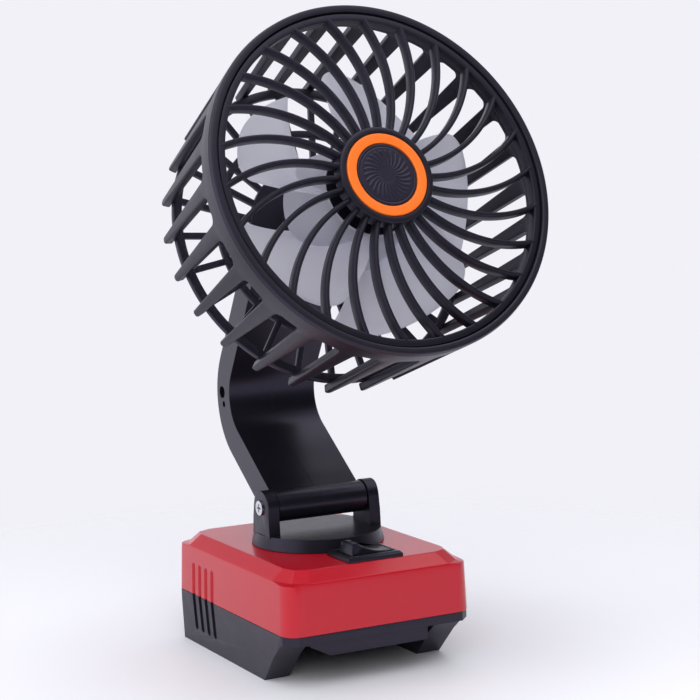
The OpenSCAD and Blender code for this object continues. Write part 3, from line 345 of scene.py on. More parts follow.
@dataclass(frozen=True)
class Finish:
    """A procedural finish: colour, gloss and relief all vary with the place on the object.

    Attributes:
        name: Name of the material.
        low: Colour of the darker patches, six hex digits.
        high: Colour of the lighter patches.
        rough: Lowest and highest roughness.
        grain_mm: Size of the fine relief's grains.
        grain_depth: Strength of the fine relief.
        patch_mm: Size of the colour and gloss patches.
        metallic: Metal share.
        specular: Strength of the clear reflection.
        coat: Strength of the clear coat.
        see_through: Share of light passed on, for frosted plastics.
        clear: Share of light that passes straight through.
        tint: Colour of the clear reflection.
        streak: How many times longer than wide the patches are along Z.
    """

    name: str
    low: str
    high: str
    rough: tuple[float, float] = (0.4, 0.5)
    grain_mm: float = 0.35
    grain_depth: float = 0.05
    patch_mm: float = 12.0
    metallic: float = 0.0
    specular: float = 0.5
    coat: float = 0.0
    see_through: float = 0.0
    clear: float = 0.0
    tint: str = "ffffff"
    streak: float = 1.0

    def material(self) -> bpy.types.Material:
        """Builds the finish's material once and hands it out again after that.

        Returns:
            The material.
        """
        known = bpy.data.materials.get(self.name)
        if known:
            return known
        made = bpy.data.materials.new(self.name)
        made.use_nodes = True
        tree = made.node_tree
        shader = tree.nodes["Principled BSDF"]
        place = tree.nodes.new("ShaderNodeTexCoord").outputs["Object"]
        stretch = tree.nodes.new("ShaderNodeMapping")
        stretch.inputs["Scale"].default_value = (1, 1, 1 / self.streak)
        tree.links.new(place, stretch.inputs["Vector"])
        patches = self._noise(tree, stretch.outputs["Vector"], self.patch_mm, 3)
        fine = self._noise(tree, place, self.grain_mm, 2)
        mix = tree.nodes.new("ShaderNodeMix")
        mix.data_type = "RGBA"
        mix.inputs["A"].default_value = srgb(self.low)
        mix.inputs["B"].default_value = srgb(self.high)
        tree.links.new(patches, mix.inputs["Factor"])
        tree.links.new(mix.outputs["Result"], shader.inputs["Base Color"])
        gloss = tree.nodes.new("ShaderNodeMapRange")
        gloss.inputs["To Min"].default_value, gloss.inputs["To Max"].default_value = self.rough
        tree.links.new(self._noise(tree, place, self.patch_mm * GLOSS_SHARE, 4), gloss.inputs["Value"])
        tree.links.new(gloss.outputs["Result"], shader.inputs["Roughness"])
        bump = tree.nodes.new("ShaderNodeBump")
        bump.inputs["Strength"].default_value = self.grain_depth
        bump.inputs["Distance"].default_value = BUMP_MM * MM
        tree.links.new(fine, bump.inputs["Height"])
        tree.links.new(bump.outputs["Normal"], shader.inputs["Normal"])
        shader.inputs["Metallic"].default_value = self.metallic
        shader.inputs["Specular IOR Level"].default_value = self.specular
        shader.inputs["Specular Tint"].default_value = srgb(self.tint)
        shader.inputs["Coat Weight"].default_value = self.coat
        shader.inputs["Coat Roughness"].default_value = COAT_ROUGH
        if self.see_through:
            self._add_see_through(tree, shader, mix.outputs["Result"])
        return made

    def _noise(self, tree: bpy.types.NodeTree, place: bpy.types.NodeSocket, size_mm: float,
               detail: float) -> bpy.types.NodeSocket:
        """Adds a noise to a material.

        Args:
            tree: The material's nodes.
            place: Socket of the place that the noise depends on.
            size_mm: Size of its grains.
            detail: Number of finer layers.

        Returns:
            Socket of the noise, from 0 to 1.
        """
        noise = tree.nodes.new("ShaderNodeTexNoise")
        noise.inputs["Scale"].default_value = 1 / (size_mm * MM)
        noise.inputs["Detail"].default_value = detail
        tree.links.new(place, noise.inputs["Vector"])
        return noise.outputs["Fac"]

    def _add_see_through(self, tree: bpy.types.NodeTree, shader: bpy.types.Node,
                         colour: bpy.types.NodeSocket) -> None:
        """Mixes in a translucent share, which glows with light from behind, and a clear share.

        Args:
            tree: The material's nodes.
            shader: Its solid shader.
            colour: Socket of its colour.
        """
        glow = tree.nodes.new("ShaderNodeBsdfTranslucent")
        tree.links.new(colour, glow.inputs["Color"])
        share = tree.nodes.new("ShaderNodeMixShader")
        share.inputs["Fac"].default_value = self.see_through
        tree.links.new(shader.outputs["BSDF"], share.inputs[1])
        tree.links.new(glow.outputs["BSDF"], share.inputs[2])
        clear = tree.nodes.new("ShaderNodeBsdfTransparent")
        whole = tree.nodes.new("ShaderNodeMixShader")
        whole.inputs["Fac"].default_value = self.clear
        tree.links.new(share.outputs["Shader"], whole.inputs[1])
        tree.links.new(clear.outputs["BSDF"], whole.inputs[2])
        tree.links.new(whole.outputs["Shader"], tree.nodes["Material Output"].inputs["Surface"])


RED = Finish("red_abs", "bc1024", "c01428", (0.25, 0.28), 0.5, 0.015, 40, coat=0.1)
BLACK = Finish("black_abs", "1e1c23", "232128", (0.38, 0.48), 0.3, 0.12, 14, tint="e0d8ff")
BLACK_FRAME = Finish("black_satin", "121116", "17161b", (0.3, 0.38), 0.4, 0.05, 10, tint="e0d8ff")
BLACK_ARM = Finish("black_arm_satin", "131218", "18171d", (0.27, 0.34), 0.3, 0.08, 14, tint="e0d8ff")
BLACK_CAGE = Finish("black_cage_satin", "17161c", "1d1c22", (0.36, 0.46), 0.3, 0.08, 10, tint="e0d8ff")
BLACK_GRILLE = Finish("black_grille_satin", "131218", "19181e", (0.3, 0.4), 0.3, 0.05, 8, tint="e0d8ff")
BLACK_CAP = Finish("black_cap_matt", "1b1923", "201e29", (0.33, 0.41), 0.3, 0.05, 5, tint="e0d8ff")
BLACK_SWITCH = Finish("black_switch_gloss", "0f0e13", "141318", (0.24, 0.34), 0.3, 0.04, 5, tint="e0d8ff")
BLACK_BLOCK = Finish("black_block_nylon", "222126", "2b2a30", (0.5, 0.6), 0.3, 0.08, 6)
ORANGE = Finish("orange_ring_pp", "fb6e10", "fc7a1c", (0.4, 0.5), 0.4, 0.04, 8)
FROSTED = Finish("frosted_blade_pp", "f6f6fe", "fbfbff", (0.32, 0.42), 0.5, 0.04, 12, see_through=0.78,
                 clear=0.12)
ZINC = Finish("zinc_plate", "c9cacd", "dcdde0", (0.2, 0.34), 0.3, 0.1, 2, metallic=1.0)
STEEL = Finish("motor_steel", "9c9da1", "b0b1b5", (0.25, 0.4), 0.4, 0.1, 5, metallic=1.0, streak=6)
BRASS = Finish("brass_strip", "c79a4b", "d6ad60", (0.22, 0.35), 0.4, 0.1, 4, metallic=1.0)
COPPER = Finish("copper_wire", "a85a2c", "c47540", (0.25, 0.4), 0.3, 0.3, 1, metallic=1.0)
BOARD = Finish("circuit_board_green", "0f4a2c", "165c38", (0.3, 0.45), 0.4, 0.08, 4, coat=0.3)
BOARD_PARTS = Finish("board_black_epoxy", "17171a", "232327", (0.45, 0.6), 0.2, 0.1, 2)
NYLON = Finish("nylon_natural", "d8d3c4", "e4e0d3", (0.4, 0.5), 0.3, 0.08, 5)
MAGNET = Finish("ferrite_magnet", "37373b", "45454a", (0.5, 0.65), 0.25, 0.2, 2)
RED_WIRE = Finish("red_wire_pvc", "a8151c", "b92027", (0.35, 0.45), 0.3, 0.05, 4)
BLACK_WIRE = Finish("black_wire_pvc", "18181b", "222226", (0.35, 0.45), 0.3, 0.05, 4)

SLOT_FINISH = {
    "red_shell": RED, "black_shell": BLACK, "black_frame": BLACK_FRAME, "black_arm": BLACK_ARM,
    "black_cage": BLACK_CAGE, "black_grille": BLACK_GRILLE, "black_cap": BLACK_CAP, "orange_ring": ORANGE,
    "frosted_blade": FROSTED, "black_switch": BLACK_SWITCH, "black_block": BLACK_BLOCK, "zinc_screw": ZINC,
    "steel": STEEL, "brass": BRASS, "copper": COPPER, "circuit_board": BOARD, "board_black": BOARD_PARTS,
    "nylon": NYLON, "magnet": MAGNET, "red_wire": RED_WIRE, "black_wire": BLACK_WIRE,
}


def slot_of(node: str) -> str:
    """The material slot that the record gives a node."""
    return next(s["material_slot"] for s in frame["record"]["subparts"] if s["node"] == node)


def rounded_copy(node: str, body: Body, width_mm: float, finish: Finish,
                 share: Callable[[np.ndarray], np.ndarray] | None = None, steps: int = 2,
                 angle_deg: float = 28.0) -> bpy.types.Object:
    """A copy of a node with its triangles merged and its chosen edges rounded.

    Points closer than 2 micrometres are merged and flat regions become single faces. An edge that
    is sharper than the angle gets a bevel of the width times the share at its middle.

    Args:
        node: Node of the frame that the copy stands for.
        body: Body that it rides on.
        width_mm: Width of the rounding.
        finish: Finish of the copy.
        share: Share of the width from 0 to 1 for edge middles (n, 3) in millimetres.
        steps: Steps in the rounding.
        angle_deg: Edges sharper than this may be rounded.

    Returns:
        The copy.
    """
    obj = frame["nodes"][node].copy()
    obj.data = obj.data.copy()
    obj.name = node + "_dressed"
    obj.parent = None
    obj.matrix_world = Matrix()
    bpy.context.scene.collection.objects.link(obj)
    mesh = obj.data
    mesh.transform(frame["nodes"][node].matrix_world)
    grid = bmesh.new()
    grid.from_mesh(mesh)
    bmesh.ops.remove_doubles(grid, verts=grid.verts, dist=MERGE_M)
    bmesh.ops.dissolve_limit(grid, angle_limit=math.radians(FLAT_DEG), verts=grid.verts, edges=grid.edges)
    bmesh.ops.recalc_face_normals(grid, faces=grid.faces)
    grid.edges.ensure_lookup_table()
    bends = np.array([edge.calc_face_angle(0.0) for edge in grid.edges])
    grid.to_mesh(mesh)
    grid.free()
    points = np.empty(len(mesh.vertices) * 3)
    mesh.vertices.foreach_get("co", points)
    ends = np.empty(len(mesh.edges) * 2, dtype=int)
    mesh.edges.foreach_get("vertices", ends)
    middles = points.reshape(-1, 3)[ends.reshape(-1, 2)].mean(1) / MM
    weight = np.where(bends > math.radians(angle_deg), 1.0, 0.0)
    if share is not None:
        weight *= share(middles)
    layer = mesh.attributes.new("bevel_weight_edge", "FLOAT", "EDGE")
    layer.data.foreach_set("value", weight)
    mesh.materials.clear()
    mesh.materials.append(finish.material())
    mesh.polygons.foreach_set("use_smooth", np.ones(len(mesh.polygons), dtype=bool))
    mesh.set_sharp_from_angle(angle=math.radians(angle_deg))
    bevel = obj.modifiers.new("rounding", "BEVEL")
    bevel.width = width_mm * MM
    bevel.segments = steps
    bevel.limit_method = "WEIGHT"
    bevel.use_clamp_overlap = True
    bevel.harden_normals = True
    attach(obj, body.value)
    slot_of(node)
    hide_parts(node)
    LOG.info("%s: rounded copy of %s, %d edges", obj.name, node, int((weight > 0).sum()))
    return obj


def dress_nodes() -> None:
    """Gives every node of the frame the finish of its slot."""
    for node, obj in frame["nodes"].items():
        obj.data.materials.clear()
        obj.data.materials.append(SLOT_FINISH[slot_of(node)].material())


@dataclass
class HeadFrame:
    """The head's own frame: origin on the fan's axis in the groove between lip and rim."""

    y: float = -62.266
    z: float = 188.994
    tilt_deg: float = 22.7

    def place(self, points: np.ndarray) -> np.ndarray:
        """Sends points of the head's own frame to the row frame.

        The face is turned about X by 90 degrees less the tilt, so that depth runs back and down.

        Args:
            points: Places (x, up across the face, depth), (n, 3), in millimetres.

        Returns:
            The same places in the row frame, (n, 3), in millimetres.
        """
        turn = math.radians(90 - self.tilt_deg)
        c, s = math.cos(turn), math.sin(turn)
        up, back = points[:, 1], points[:, 2]
        return np.stack([points[:, 0], self.y + up * c + back * s, self.z + up * s - back * c], 1)


HEAD = HeadFrame()


def smooth_step(value: np.ndarray, low: float, high: float) -> np.ndarray:
    """Rises smoothly as 3 t^2 - 2 t^3 of the share t of the way from low to high.

    Args:
        value: Where to take the step's height.
        low: Value up to which it is 0.
        high: Value from which it is 1.

    Returns:
        Heights from 0 to 1.
    """
    t = np.clip((value - low) / (high - low), 0, 1)
    return t * t * (3 - 2 * t)


@dataclass
class Cage:
    """The black housing round the blades: lip and skirt, slanted fins, hoop, ring, ribs and disc.

    Attributes:
        front_r: Radius of the cone at its front.
        rear_r: Radius of the cone at the fins' tips.
        depth: Depth of the fins' tips.
        lip_in_r: Inner radius of the lip.
        lip_out_r: Outer radius of the lip.
        lip_front: Depth of the lip's front.
        skirt_depth: Depth at which the closed skirt ends and the fins begin.
        ledge_r: Inner radius of the ledge that the grille rests on.
        ledge: Depth of the ledge's front and back.
        wall: Thickness of the skirt and the fins.
        fins: Number of fins, and of ribs.
        fin_turn: Angle of the first fin in degrees.
        fin_w: Width of a fin at its root.
        fin_tip_w: Width of a fin at its tip.
        fin_tip_r: Rounding of a fin's tip.
        notch_r: Rounding of the corners between skirt and fins.
        sink: How far a fin stands into the skirt.
        rib_half: Half the width of a rib.
        rib_thick: Thickness of a rib.
        rib_front: Depth of a rib's front at the disc.
        rib_rise: How much nearer the front a rib stands at the hoop.
        hoop: Inner and outer radius, front and back depth of the hoop.
        ring: Inner and outer radius of the middle ring.
        ring_depth: Front and back depth of the middle ring.
        disc_r: Radius of the disc.
        disc: Front and back depth of the disc.
        cup: Inner and outer radius of the cup that holds the motor.
        cup_deep: How far the cup stands in front of the disc.
    """

    front_r: float = 68.3
    rear_r: float = 63.5
    depth: float = 61.6
    lip_in_r: float = 65.25
    lip_out_r: float = 67.95
    lip_front: float = -0.9
    skirt_depth: float = 9.3
    ledge_r: float = 62.65
    ledge: tuple[float, float] = (4.9, 6.9)
    wall: float = 3.2
    fins: int = 26
    fin_turn: float = 12.43
    fin_w: float = 6.2
    fin_tip_w: float = 2.9
    fin_tip_r: float = 0.8
    notch_r: float = 3.8
    sink: float = 0.3
    rib_half: float = 1.15
    rib_thick: float = 2.5
    rib_front: float = 57.9
    rib_rise: float = 2.1
    hoop: tuple[float, float, float, float] = (57.3, 60.9, 55.7, 58.4)
    ring: tuple[float, float] = (40.5, 43.2)
    ring_depth: tuple[float, float] = (57.0, 59.2)
    disc_r: float = 28.75
    disc: tuple[float, float] = (57.5, 60.5)
    cup: tuple[float, float] = (13.95, 16.35)
    cup_deep: float = 12.0

    def radius(self, depth: np.ndarray) -> np.ndarray:
        """The cone's outer radius at a depth."""
        return self.front_r + (self.rear_r - self.front_r) * np.asarray(depth) / self.depth

    def skirt(self) -> Surface:
        """Turns the lip, the cone and the grille's ledge as one profile with rounded corners.

        Returns:
            A closed surface in the head's frame.
        """
        end, shoulder = self.skirt_depth, 1.1
        outer = float(self.radius(end))
        ledge, seat = self.ledge
        outline = arc_corners([
            (self.lip_in_r, self.lip_front + 0.1, 0.7), (self.lip_out_r - 0.1, self.lip_front, 1.1),
            (self.lip_out_r + 0.1, 0.5, 0.25), (float(self.radius(shoulder)), shoulder, 0.3),
            (outer, end, 0.35), (outer - self.wall, end, 0.35), (outer - self.wall, seat, 0.2),
            (self.ledge_r, seat, 0.3), (self.ledge_r, ledge, 0.2), (self.lip_in_r, ledge, 0.2)], 6)
        return revolved(outline, RIM_STEPS)

    def fin(self) -> Surface:
        """Skins one fin at angle zero from sections along the depth.

        Half the width is that of the notch corners' arcs near the skirt and falls straight to the
        blunt, rounded tip; each section is a rounded rectangle between the cone and the inner face.

        Returns:
            A closed surface in the head's frame.
        """
        arc, start, tip_r = self.notch_r, self.skirt_depth - self.sink, self.fin_tip_r
        root_half, tip_half, tip_start = self.fin_w / 2, self.fin_tip_w / 2, self.depth - tip_r
        turn = np.radians(np.arange(0, 91, 10))
        near = np.stack([start + arc * (1 - np.cos(turn)), root_half + arc * (1 - np.sin(turn))], 1)
        slope = np.linspace(near[-1, 0], tip_start, 8)[1:]
        body = np.stack([slope, np.interp(slope, [near[-1, 0], tip_start], [root_half, tip_half])], 1)
        tip_turn = np.radians([25, 50, 70, 90])
        tip = np.stack([tip_start + tip_r * np.sin(tip_turn), tip_half - tip_r * (1 - np.cos(tip_turn))], 1)
        rows = np.concatenate([[[start - 1.2, root_half + arc]], near, body, tip])
        sections = []
        for depth, half in rows:
            outer = float(self.radius(depth)) - 0.05
            inner = outer - self.wall + 0.15
            past = max(0.0, depth - self.depth + tip_r)
            inner += 1.5 * past
            edge = min(0.6, 0.45 * half)
            ring = arc_corners([(inner, -half, edge * 0.7), (outer, -half, edge), (outer, half, edge),
                                (inner, half, edge * 0.7)], 3)
            bulge = np.sqrt(np.maximum(outer ** 2 - ring[:, 1] ** 2, 0)) - outer
            sections.append(np.column_stack([ring[:, 0] + bulge, ring[:, 1], np.full(len(ring), depth)]))
        return lofted(np.array(sections))

    def rib(self) -> Surface:
        """Skins one rib of the back, from the disc out to the hoop, as rounded rectangles.

        Returns:
            A closed surface at angle zero of the head's frame.
        """
        half, sections = self.rib_half, []
        for r in np.linspace(self.disc_r - 1, self.hoop[1] - 0.4, 7):
            front = self.rib_front - self.rib_rise * (r - self.disc_r) / (self.hoop[1] - self.disc_r)
            back = front + self.rib_thick
            ring = arc_corners([(-half, front, 0.3), (half, front, 0.3),
                                (half, back, 0.8), (-half, back, 0.8)], 3)
            sections.append(np.column_stack([np.full(len(ring), r), ring]))
        return lofted(np.array(sections))

    def turned_band(self, inner: float, outer: float, front: float, back: float, edge: float) -> Surface:
        """Turns a flat ring with rounded edges.

        Args:
            inner: Inner radius.
            outer: Outer radius.
            front: Depth of the front face.
            back: Depth of the back face.
            edge: Radius of the edges.

        Returns:
            A closed surface in the head's frame.
        """
        corners = [(inner, front, edge), (outer, front, edge), (outer, back, edge), (inner, back, edge)]
        return revolved(arc_corners(corners, 4))

    def build(self) -> None:
        """Builds and dresses the cage."""
        r, (front, back) = self.disc_r, self.disc
        disc = revolved(np.array([(0, front), (r - 0.3, front), (r, front + 0.3), (r, back - 0.8),
                                  (r - 0.25, back - 0.25), (r - 0.8, back), (0, back)]))
        cup = self.turned_band(*self.cup, front - self.cup_deep, front + 0.5, 0.3)
        whole = self.skirt().joined(
            repeated(self.fin(), self.fins, self.fin_turn), repeated(self.rib(), self.fins, self.fin_turn),
            self.turned_band(*self.hoop, 0.7), self.turned_band(*self.ring, *self.ring_depth, 0.6),
            disc, cup)
        piece("cage", whole.mapped(HEAD.place), Body.HEAD, BLACK_CAGE.material(),
              ("rear_cage",))


@dataclass
class Grille:
    """The front grille: rim, curved ridged spokes and the hub that holds the ring and the cap.

    Attributes:
        rim: Inner and outer radius of the rim.
        rim_t: Depth of the rim's back.
        spokes: Number of spokes.
        first_deg: Angle of the first spoke's place on the rim.
        arc_r: Radius of the arc that a spoke follows.
        arc_from_axis: Distance of the arc's centre from the axis.
        arc_ahead_deg: Angle of the arc's centre ahead of the spoke's place.
        width: Width of a spoke.
        ridge: Width of the ridge on its front.
        thick: Thickness of a spoke.
        hub_r: Outer radius of the hub.
        hub_wall: Thickness of the hub's wall.
        hub_back: Depth of the hub's back.
        hub_floor: Thickness of the hub's floor, and its depth behind the hub's front.
        proud: How far the hub stands in front of the rim's groove.
        ring_r: Radius of the coloured ring's seat.
        ring_gap: Gap between the coloured ring and its seat.
        cap_r: Radius of the cap.
        cap_edge: Rounding of the cap's edge.
        swirl_r: Radius at which the cap's small spokes end.
        swirl_high: Height of the small spokes.
    """

    rim: tuple[float, float] = (62.1, 64.95)
    rim_t: float = 4.6
    spokes: int = 26
    first_deg: float = 13.5
    arc_r: float = 53.4
    arc_from_axis: float = 57.5
    arc_ahead_deg: float = 54.0
    width: float = 2.0
    ridge: float = 1.25
    thick: float = 4.8
    hub_r: float = 18.8
    hub_wall: float = 2.0
    hub_back: float = 4.3
    hub_floor: float = 1.3
    proud: float = 1.4
    ring_r: float = 16.3
    ring_gap: float = 0.25
    cap_r: float = 12.05
    cap_edge: float = 0.45
    swirl_r: float = 9.6
    swirl_high: float = 0.26

    def turn(self, r: np.ndarray) -> np.ndarray:
        """The angle at which a spoke stands at a radius.

        For an arc of radius R about a centre at distance D it is
        ahead - acos((r^2 + D^2 - R^2) / (2 r D)).

        Args:
            r: Radii, in an array of any shape.

        Returns:
            Angles in radians from the spoke's place on the rim, in the same shape.
        """
        away = self.arc_from_axis
        return math.radians(self.arc_ahead_deg) - np.arccos(
            (r ** 2 + away ** 2 - self.arc_r ** 2) / (2 * r * away))

    def spoke(self) -> Surface:
        """Carries a ridged section along the spoke's arc, from inside the hub to inside the rim.

        Returns:
            A closed surface in the head's frame, with its place on the rim at angle zero.
        """
        r = np.linspace(self.hub_r - 0.9, self.rim[0] + 1.5, 26)
        turn = self.turn(r)
        path = np.stack([r * np.cos(turn), r * np.sin(turn)], 1)
        along = np.gradient(path, axis=0)
        along /= np.linalg.norm(along, axis=1, keepdims=True)
        side = np.stack([-along[:, 1], along[:, 0]], 1)
        w, n, t = self.width / 2, self.ridge / 2, self.thick
        section = np.array([
            (-w + 0.2, t), (-w, t - 0.3), (-w, 1.1), (-w + 0.1, 0.82), (-n - 0.12, 0.7), (-n, 0.52),
            (-n, 0.3), (-n + 0.22, 0.06), (0, 0), (n - 0.22, 0.06), (n, 0.3), (n, 0.52), (n + 0.12, 0.7),
            (w - 0.1, 0.82), (w, 1.1), (w, t - 0.3), (w - 0.2, t)])
        points = np.empty((len(r), len(section), 3))
        points[..., :2] = path[:, None] + side[:, None] * section[None, :, :1]
        points[..., 2] = section[None, :, 1]
        return lofted(points)

    def hub(self) -> Surface:
        """Turns the hub: a cup with a rounded rim, whose floor carries the ring and the cap.

        Returns:
            A closed surface in the head's frame.
        """
        front, back, seat = -self.proud, self.hub_back, self.ring_r + 0.05
        floor, under = front + self.hub_floor, front + 2 * self.hub_floor
        outer, inner = self.hub_r, self.hub_r - self.hub_wall
        corners = arc_corners([(seat, floor, 0.0), (seat, front, 0.35), (outer, front, 0.8),
                               (outer, back, 0.3), (inner, back, 0.3), (inner, under, 0.3)], 5)
        return revolved(np.concatenate([[(0, floor)], corners, [(0, under)]]))

    def build(self) -> None:
        """Builds and dresses the grille, the coloured ring and the centre cap."""
        rim = revolved(arc_corners([(self.rim[0], 0.1, 0.5), (self.rim[1], 0.1, 0.7),
                                    (self.rim[1], self.rim_t, 0.4), (self.rim[0], self.rim_t, 0.6)], 6),
                       RIM_STEPS)
        whole = rim.joined(repeated(self.spoke(), self.spokes, self.first_deg), self.hub())
        piece("grille", whole.mapped(HEAD.place), Body.HEAD, BLACK_GRILLE.material(),
              ("front_grille",))
        front = -self.proud
        inner, outer = self.cap_r + 0.2, self.ring_r - self.ring_gap
        ring = revolved(arc_corners([(inner, front + 1.4, 0.1), (inner, front - 0.05, 0.3),
                                     (outer, front - 0.2, 0.45), (outer, front + 1.4, 0.1)], 5))
        piece("coloured_ring", ring.mapped(HEAD.place), Body.HEAD, ORANGE.material(),
              ("accent_ring",))
        piece("cap", self.cap().mapped(HEAD.place), Body.HEAD, BLACK_CAP.material(),
              ("centre_cap",), crease_deg=60)

    def cap(self) -> Surface:
        """Makes the cap's face with a low relief: the grille's own swirl in small, in a shallow ring.

        The relief is its height times the eighth power of the cosine of half the spokes' number times
        (angle - turn of the small spoke at that radius), between the smooth middle and the end of the
        small spokes. The ring is a groove of 0.12 mm with a bell-shaped section, and the edge falls
        back as a quarter circle.

        Returns:
            A closed surface in the head's frame.
        """
        small, flat_r, round_r = self.swirl_r / self.rim[0], self.cap_r - 0.5, self.cap_edge
        middle_r = self.hub_r * small
        last = flat_r + round_r * np.sin(np.radians([30, 60, 80]))
        r = np.concatenate([np.linspace(0, flat_r, 64), last])
        steps = 18 * self.spokes
        a = np.arange(steps) * TAU / steps
        rr, aa = np.meshgrid(r, a, indexing="ij")
        inside = np.clip(rr, middle_r, self.swirl_r) / small
        rib = np.cos(self.spokes / 2 * (aa - self.turn(inside))) ** 8
        fade = smooth_step(rr, middle_r, middle_r + 0.8)
        fade *= 1 - smooth_step(rr, self.swirl_r - 0.7, self.swirl_r)
        groove = 0.12 * np.exp(-((rr - self.cap_r + 1.2) / 0.22) ** 2)
        past = np.clip(rr - flat_r, 0, None) / round_r
        edge = round_r * (1 - np.sqrt(np.clip(1 - past ** 2, 0, 1)))
        depth = -self.proud + 0.08 + groove + edge - self.swirl_high * rib * fade
        rr = np.maximum(rr, HAIR)
        face = np.stack([rr * np.cos(aa), rr * np.sin(aa), depth], -1)
        back = np.stack([self.cap_r * np.cos(a), self.cap_r * np.sin(a), np.zeros(steps)], -1)
        return lofted(np.concatenate([face, back[None]]))


@dataclass
class Impeller:
    """The frosted fan wheel: a conical hub and five swept blades.

    Attributes:
        blades: Number of blades.
        first_deg: Angle of the first blade.
        tip_r: Radius of the wheel.
        sweep_deg: Angle between a tip's front and its rear corner.
        ahead_deg: How far the front edge leads for each millimetre further in, in degrees.
        behind_deg: The same for the rear edge.
        front_depth: Depth of the tip's front corner.
        root_depth: Depth of the front edge at the root.
        rear_depth: Depth of the rear edge and of the hub's back.
        front_corner: Share of the blade that the tip's front corner takes, and how far it is drawn in.
        rear_corner: The same for the tip's rear corner.
        thick: Thickness of a blade.
        cone: Front radius, rear radius and front depth of the hub.
        wall: Thickness of the hub's wall.
        web: Depth of the hub's web.
        web_t: Thickness of the web.
        boss_r: Radius of the boss behind the web.
        boss_deep: How far the boss reaches behind the web's front.
    """

    blades: int = 5
    first_deg: float = 27.0
    tip_r: float = 50.0
    sweep_deg: float = 66.8
    ahead_deg: float = 0.5
    behind_deg: float = 0.69
    front_depth: float = 17.0
    root_depth: float = 11.0
    rear_depth: float = 37.0
    front_corner: tuple[float, float] = (0.13, 5.0)
    rear_corner: tuple[float, float] = (0.02, 0.9)
    thick: float = 1.7
    cone: tuple[float, float, float] = (19.25, 24.7, 12.7)
    wall: float = 1.5
    web: float = 15.6
    web_t: float = 1.6
    boss_r: float = 4.0
    boss_deep: float = 8.0

    def cone_r(self, depth: np.ndarray | float) -> np.ndarray | float:
        """The hub's outer radius at a depth."""
        front, rear, start = self.cone
        return front + (rear - front) * (depth - start) / (self.rear_depth - start)

    def blade(self) -> Surface:
        """Skins one blade from closed loops round its edge, from the root out to the tip.

        With t from 0 at the front edge to 1 at the rear edge, the middle surface's depth is
        front(r) + (rear - front(r)) (1 - cos(pi t^0.75)) / 2 and its angle falls linearly with t;
        front(r) rises from the root depth with the 2.4th power of (r - 20) / 30.
        The tip's front corner is well rounded and its rear one barely, by drawing the radius in as
        a quarter ellipse of t, and the wall thins to a rounded edge all round.

        Returns:
            A closed surface in the head's frame.
        """
        u = np.linspace(0, 1, 49)
        t = 0.5 - 0.5 * np.cos(math.pi * u)
        last = 1 - 0.06 * (1 - np.sin(np.radians([25, 50, 70, 83])))
        v = np.concatenate([np.linspace(0, 0.94, 26), last])
        tt, vv = np.meshgrid(t, v)
        tip = np.full_like(tt, self.tip_r)
        for (share, drawn), away in ((self.front_corner, tt), (self.rear_corner, 1 - tt)):
            tip -= drawn * (1 - np.sqrt(1 - (1 - np.clip(away / share, 0, 1)) ** 2))
        rise = (1 - np.cos(math.pi * tt ** 0.75)) / 2
        root_depth = self.root_depth + (self.rear_depth - self.root_depth) * rise
        root = self.cone_r(np.maximum(self.cone[2], root_depth)) - 0.8
        r = root + (tip - root) * vv
        out = np.clip(r - 20, 0, None) / 30
        front = self.root_depth + (self.front_depth - self.root_depth) * out ** 2.4
        depth = front + (self.rear_depth - front) * rise
        ahead = (self.tip_r - r) * self.ahead_deg
        behind = -self.sweep_deg + (self.tip_r - r) * self.behind_deg
        turn = np.radians(ahead + (behind - ahead) * tt)
        edge = np.sqrt(1 - (1 - np.clip(np.minimum(tt, 1 - tt) / 0.022, 0, 1)) ** 2)
        tip_edge = np.sqrt(1 - np.clip((vv - 0.975) / 0.0251, 0, 1) ** 2)
        half = 0.5 * self.thick * np.maximum(edge * tip_edge, 0.05)
        upper = np.stack([r * np.cos(turn), r * np.sin(turn), depth - half], -1)
        lower = np.stack([r * np.cos(turn), r * np.sin(turn), depth + half], -1)
        return lofted(np.concatenate([upper, lower[:, ::-1]], 1))

    def hub(self) -> Surface:
        """Turns the conical hub with its rounded rims, its web and its boss.

        Returns:
            A closed surface in the head's frame.
        """
        front, rear, web, w = self.cone[2], self.rear_depth, self.web, self.wall
        under, end = web + self.web_t, web + self.boss_deep
        return revolved(np.concatenate([
            [(0, web)], arc_corners([
                (self.cone_r(web) - w, web, 0.3), (self.cone_r(front) - w, front, 0.5),
                (self.cone_r(front), front, 0.7), (self.cone_r(rear), rear, 0.5),
                (self.cone_r(rear) - w, rear, 0.4), (self.cone_r(under) - w, under, 0.4),
                (self.boss_r, under, 0.5), (self.boss_r, end, 0.4)], 4), [(0, end)]]))

    def build(self) -> None:
        """Builds and dresses the wheel."""
        whole = repeated(self.blade(), self.blades, self.first_deg).joined(self.hub())
        piece("fan_wheel", whole.mapped(HEAD.place), Body.ROTOR, FROSTED.material(),
              ("impeller",))


def ramp(tree: bpy.types.NodeTree, value: bpy.types.NodeSocket, span: tuple[float, float],
         levels: tuple[float, float]) -> bpy.types.NodeSocket:
    """Adds a smooth rise to a material.

    Args:
        tree: The material's nodes.
        value: Socket of the value that it follows.
        span: Values between which it rises.
        levels: Its levels before and after the span.

    Returns:
        Socket of the level.
    """
    node = tree.nodes.new("ShaderNodeMapRange")
    node.interpolation_type = "SMOOTHSTEP"
    node.inputs["From Min"].default_value, node.inputs["From Max"].default_value = span
    node.inputs["To Min"].default_value, node.inputs["To Max"].default_value = levels
    tree.links.new(value, node.inputs["Value"])
    return node.outputs["Result"]


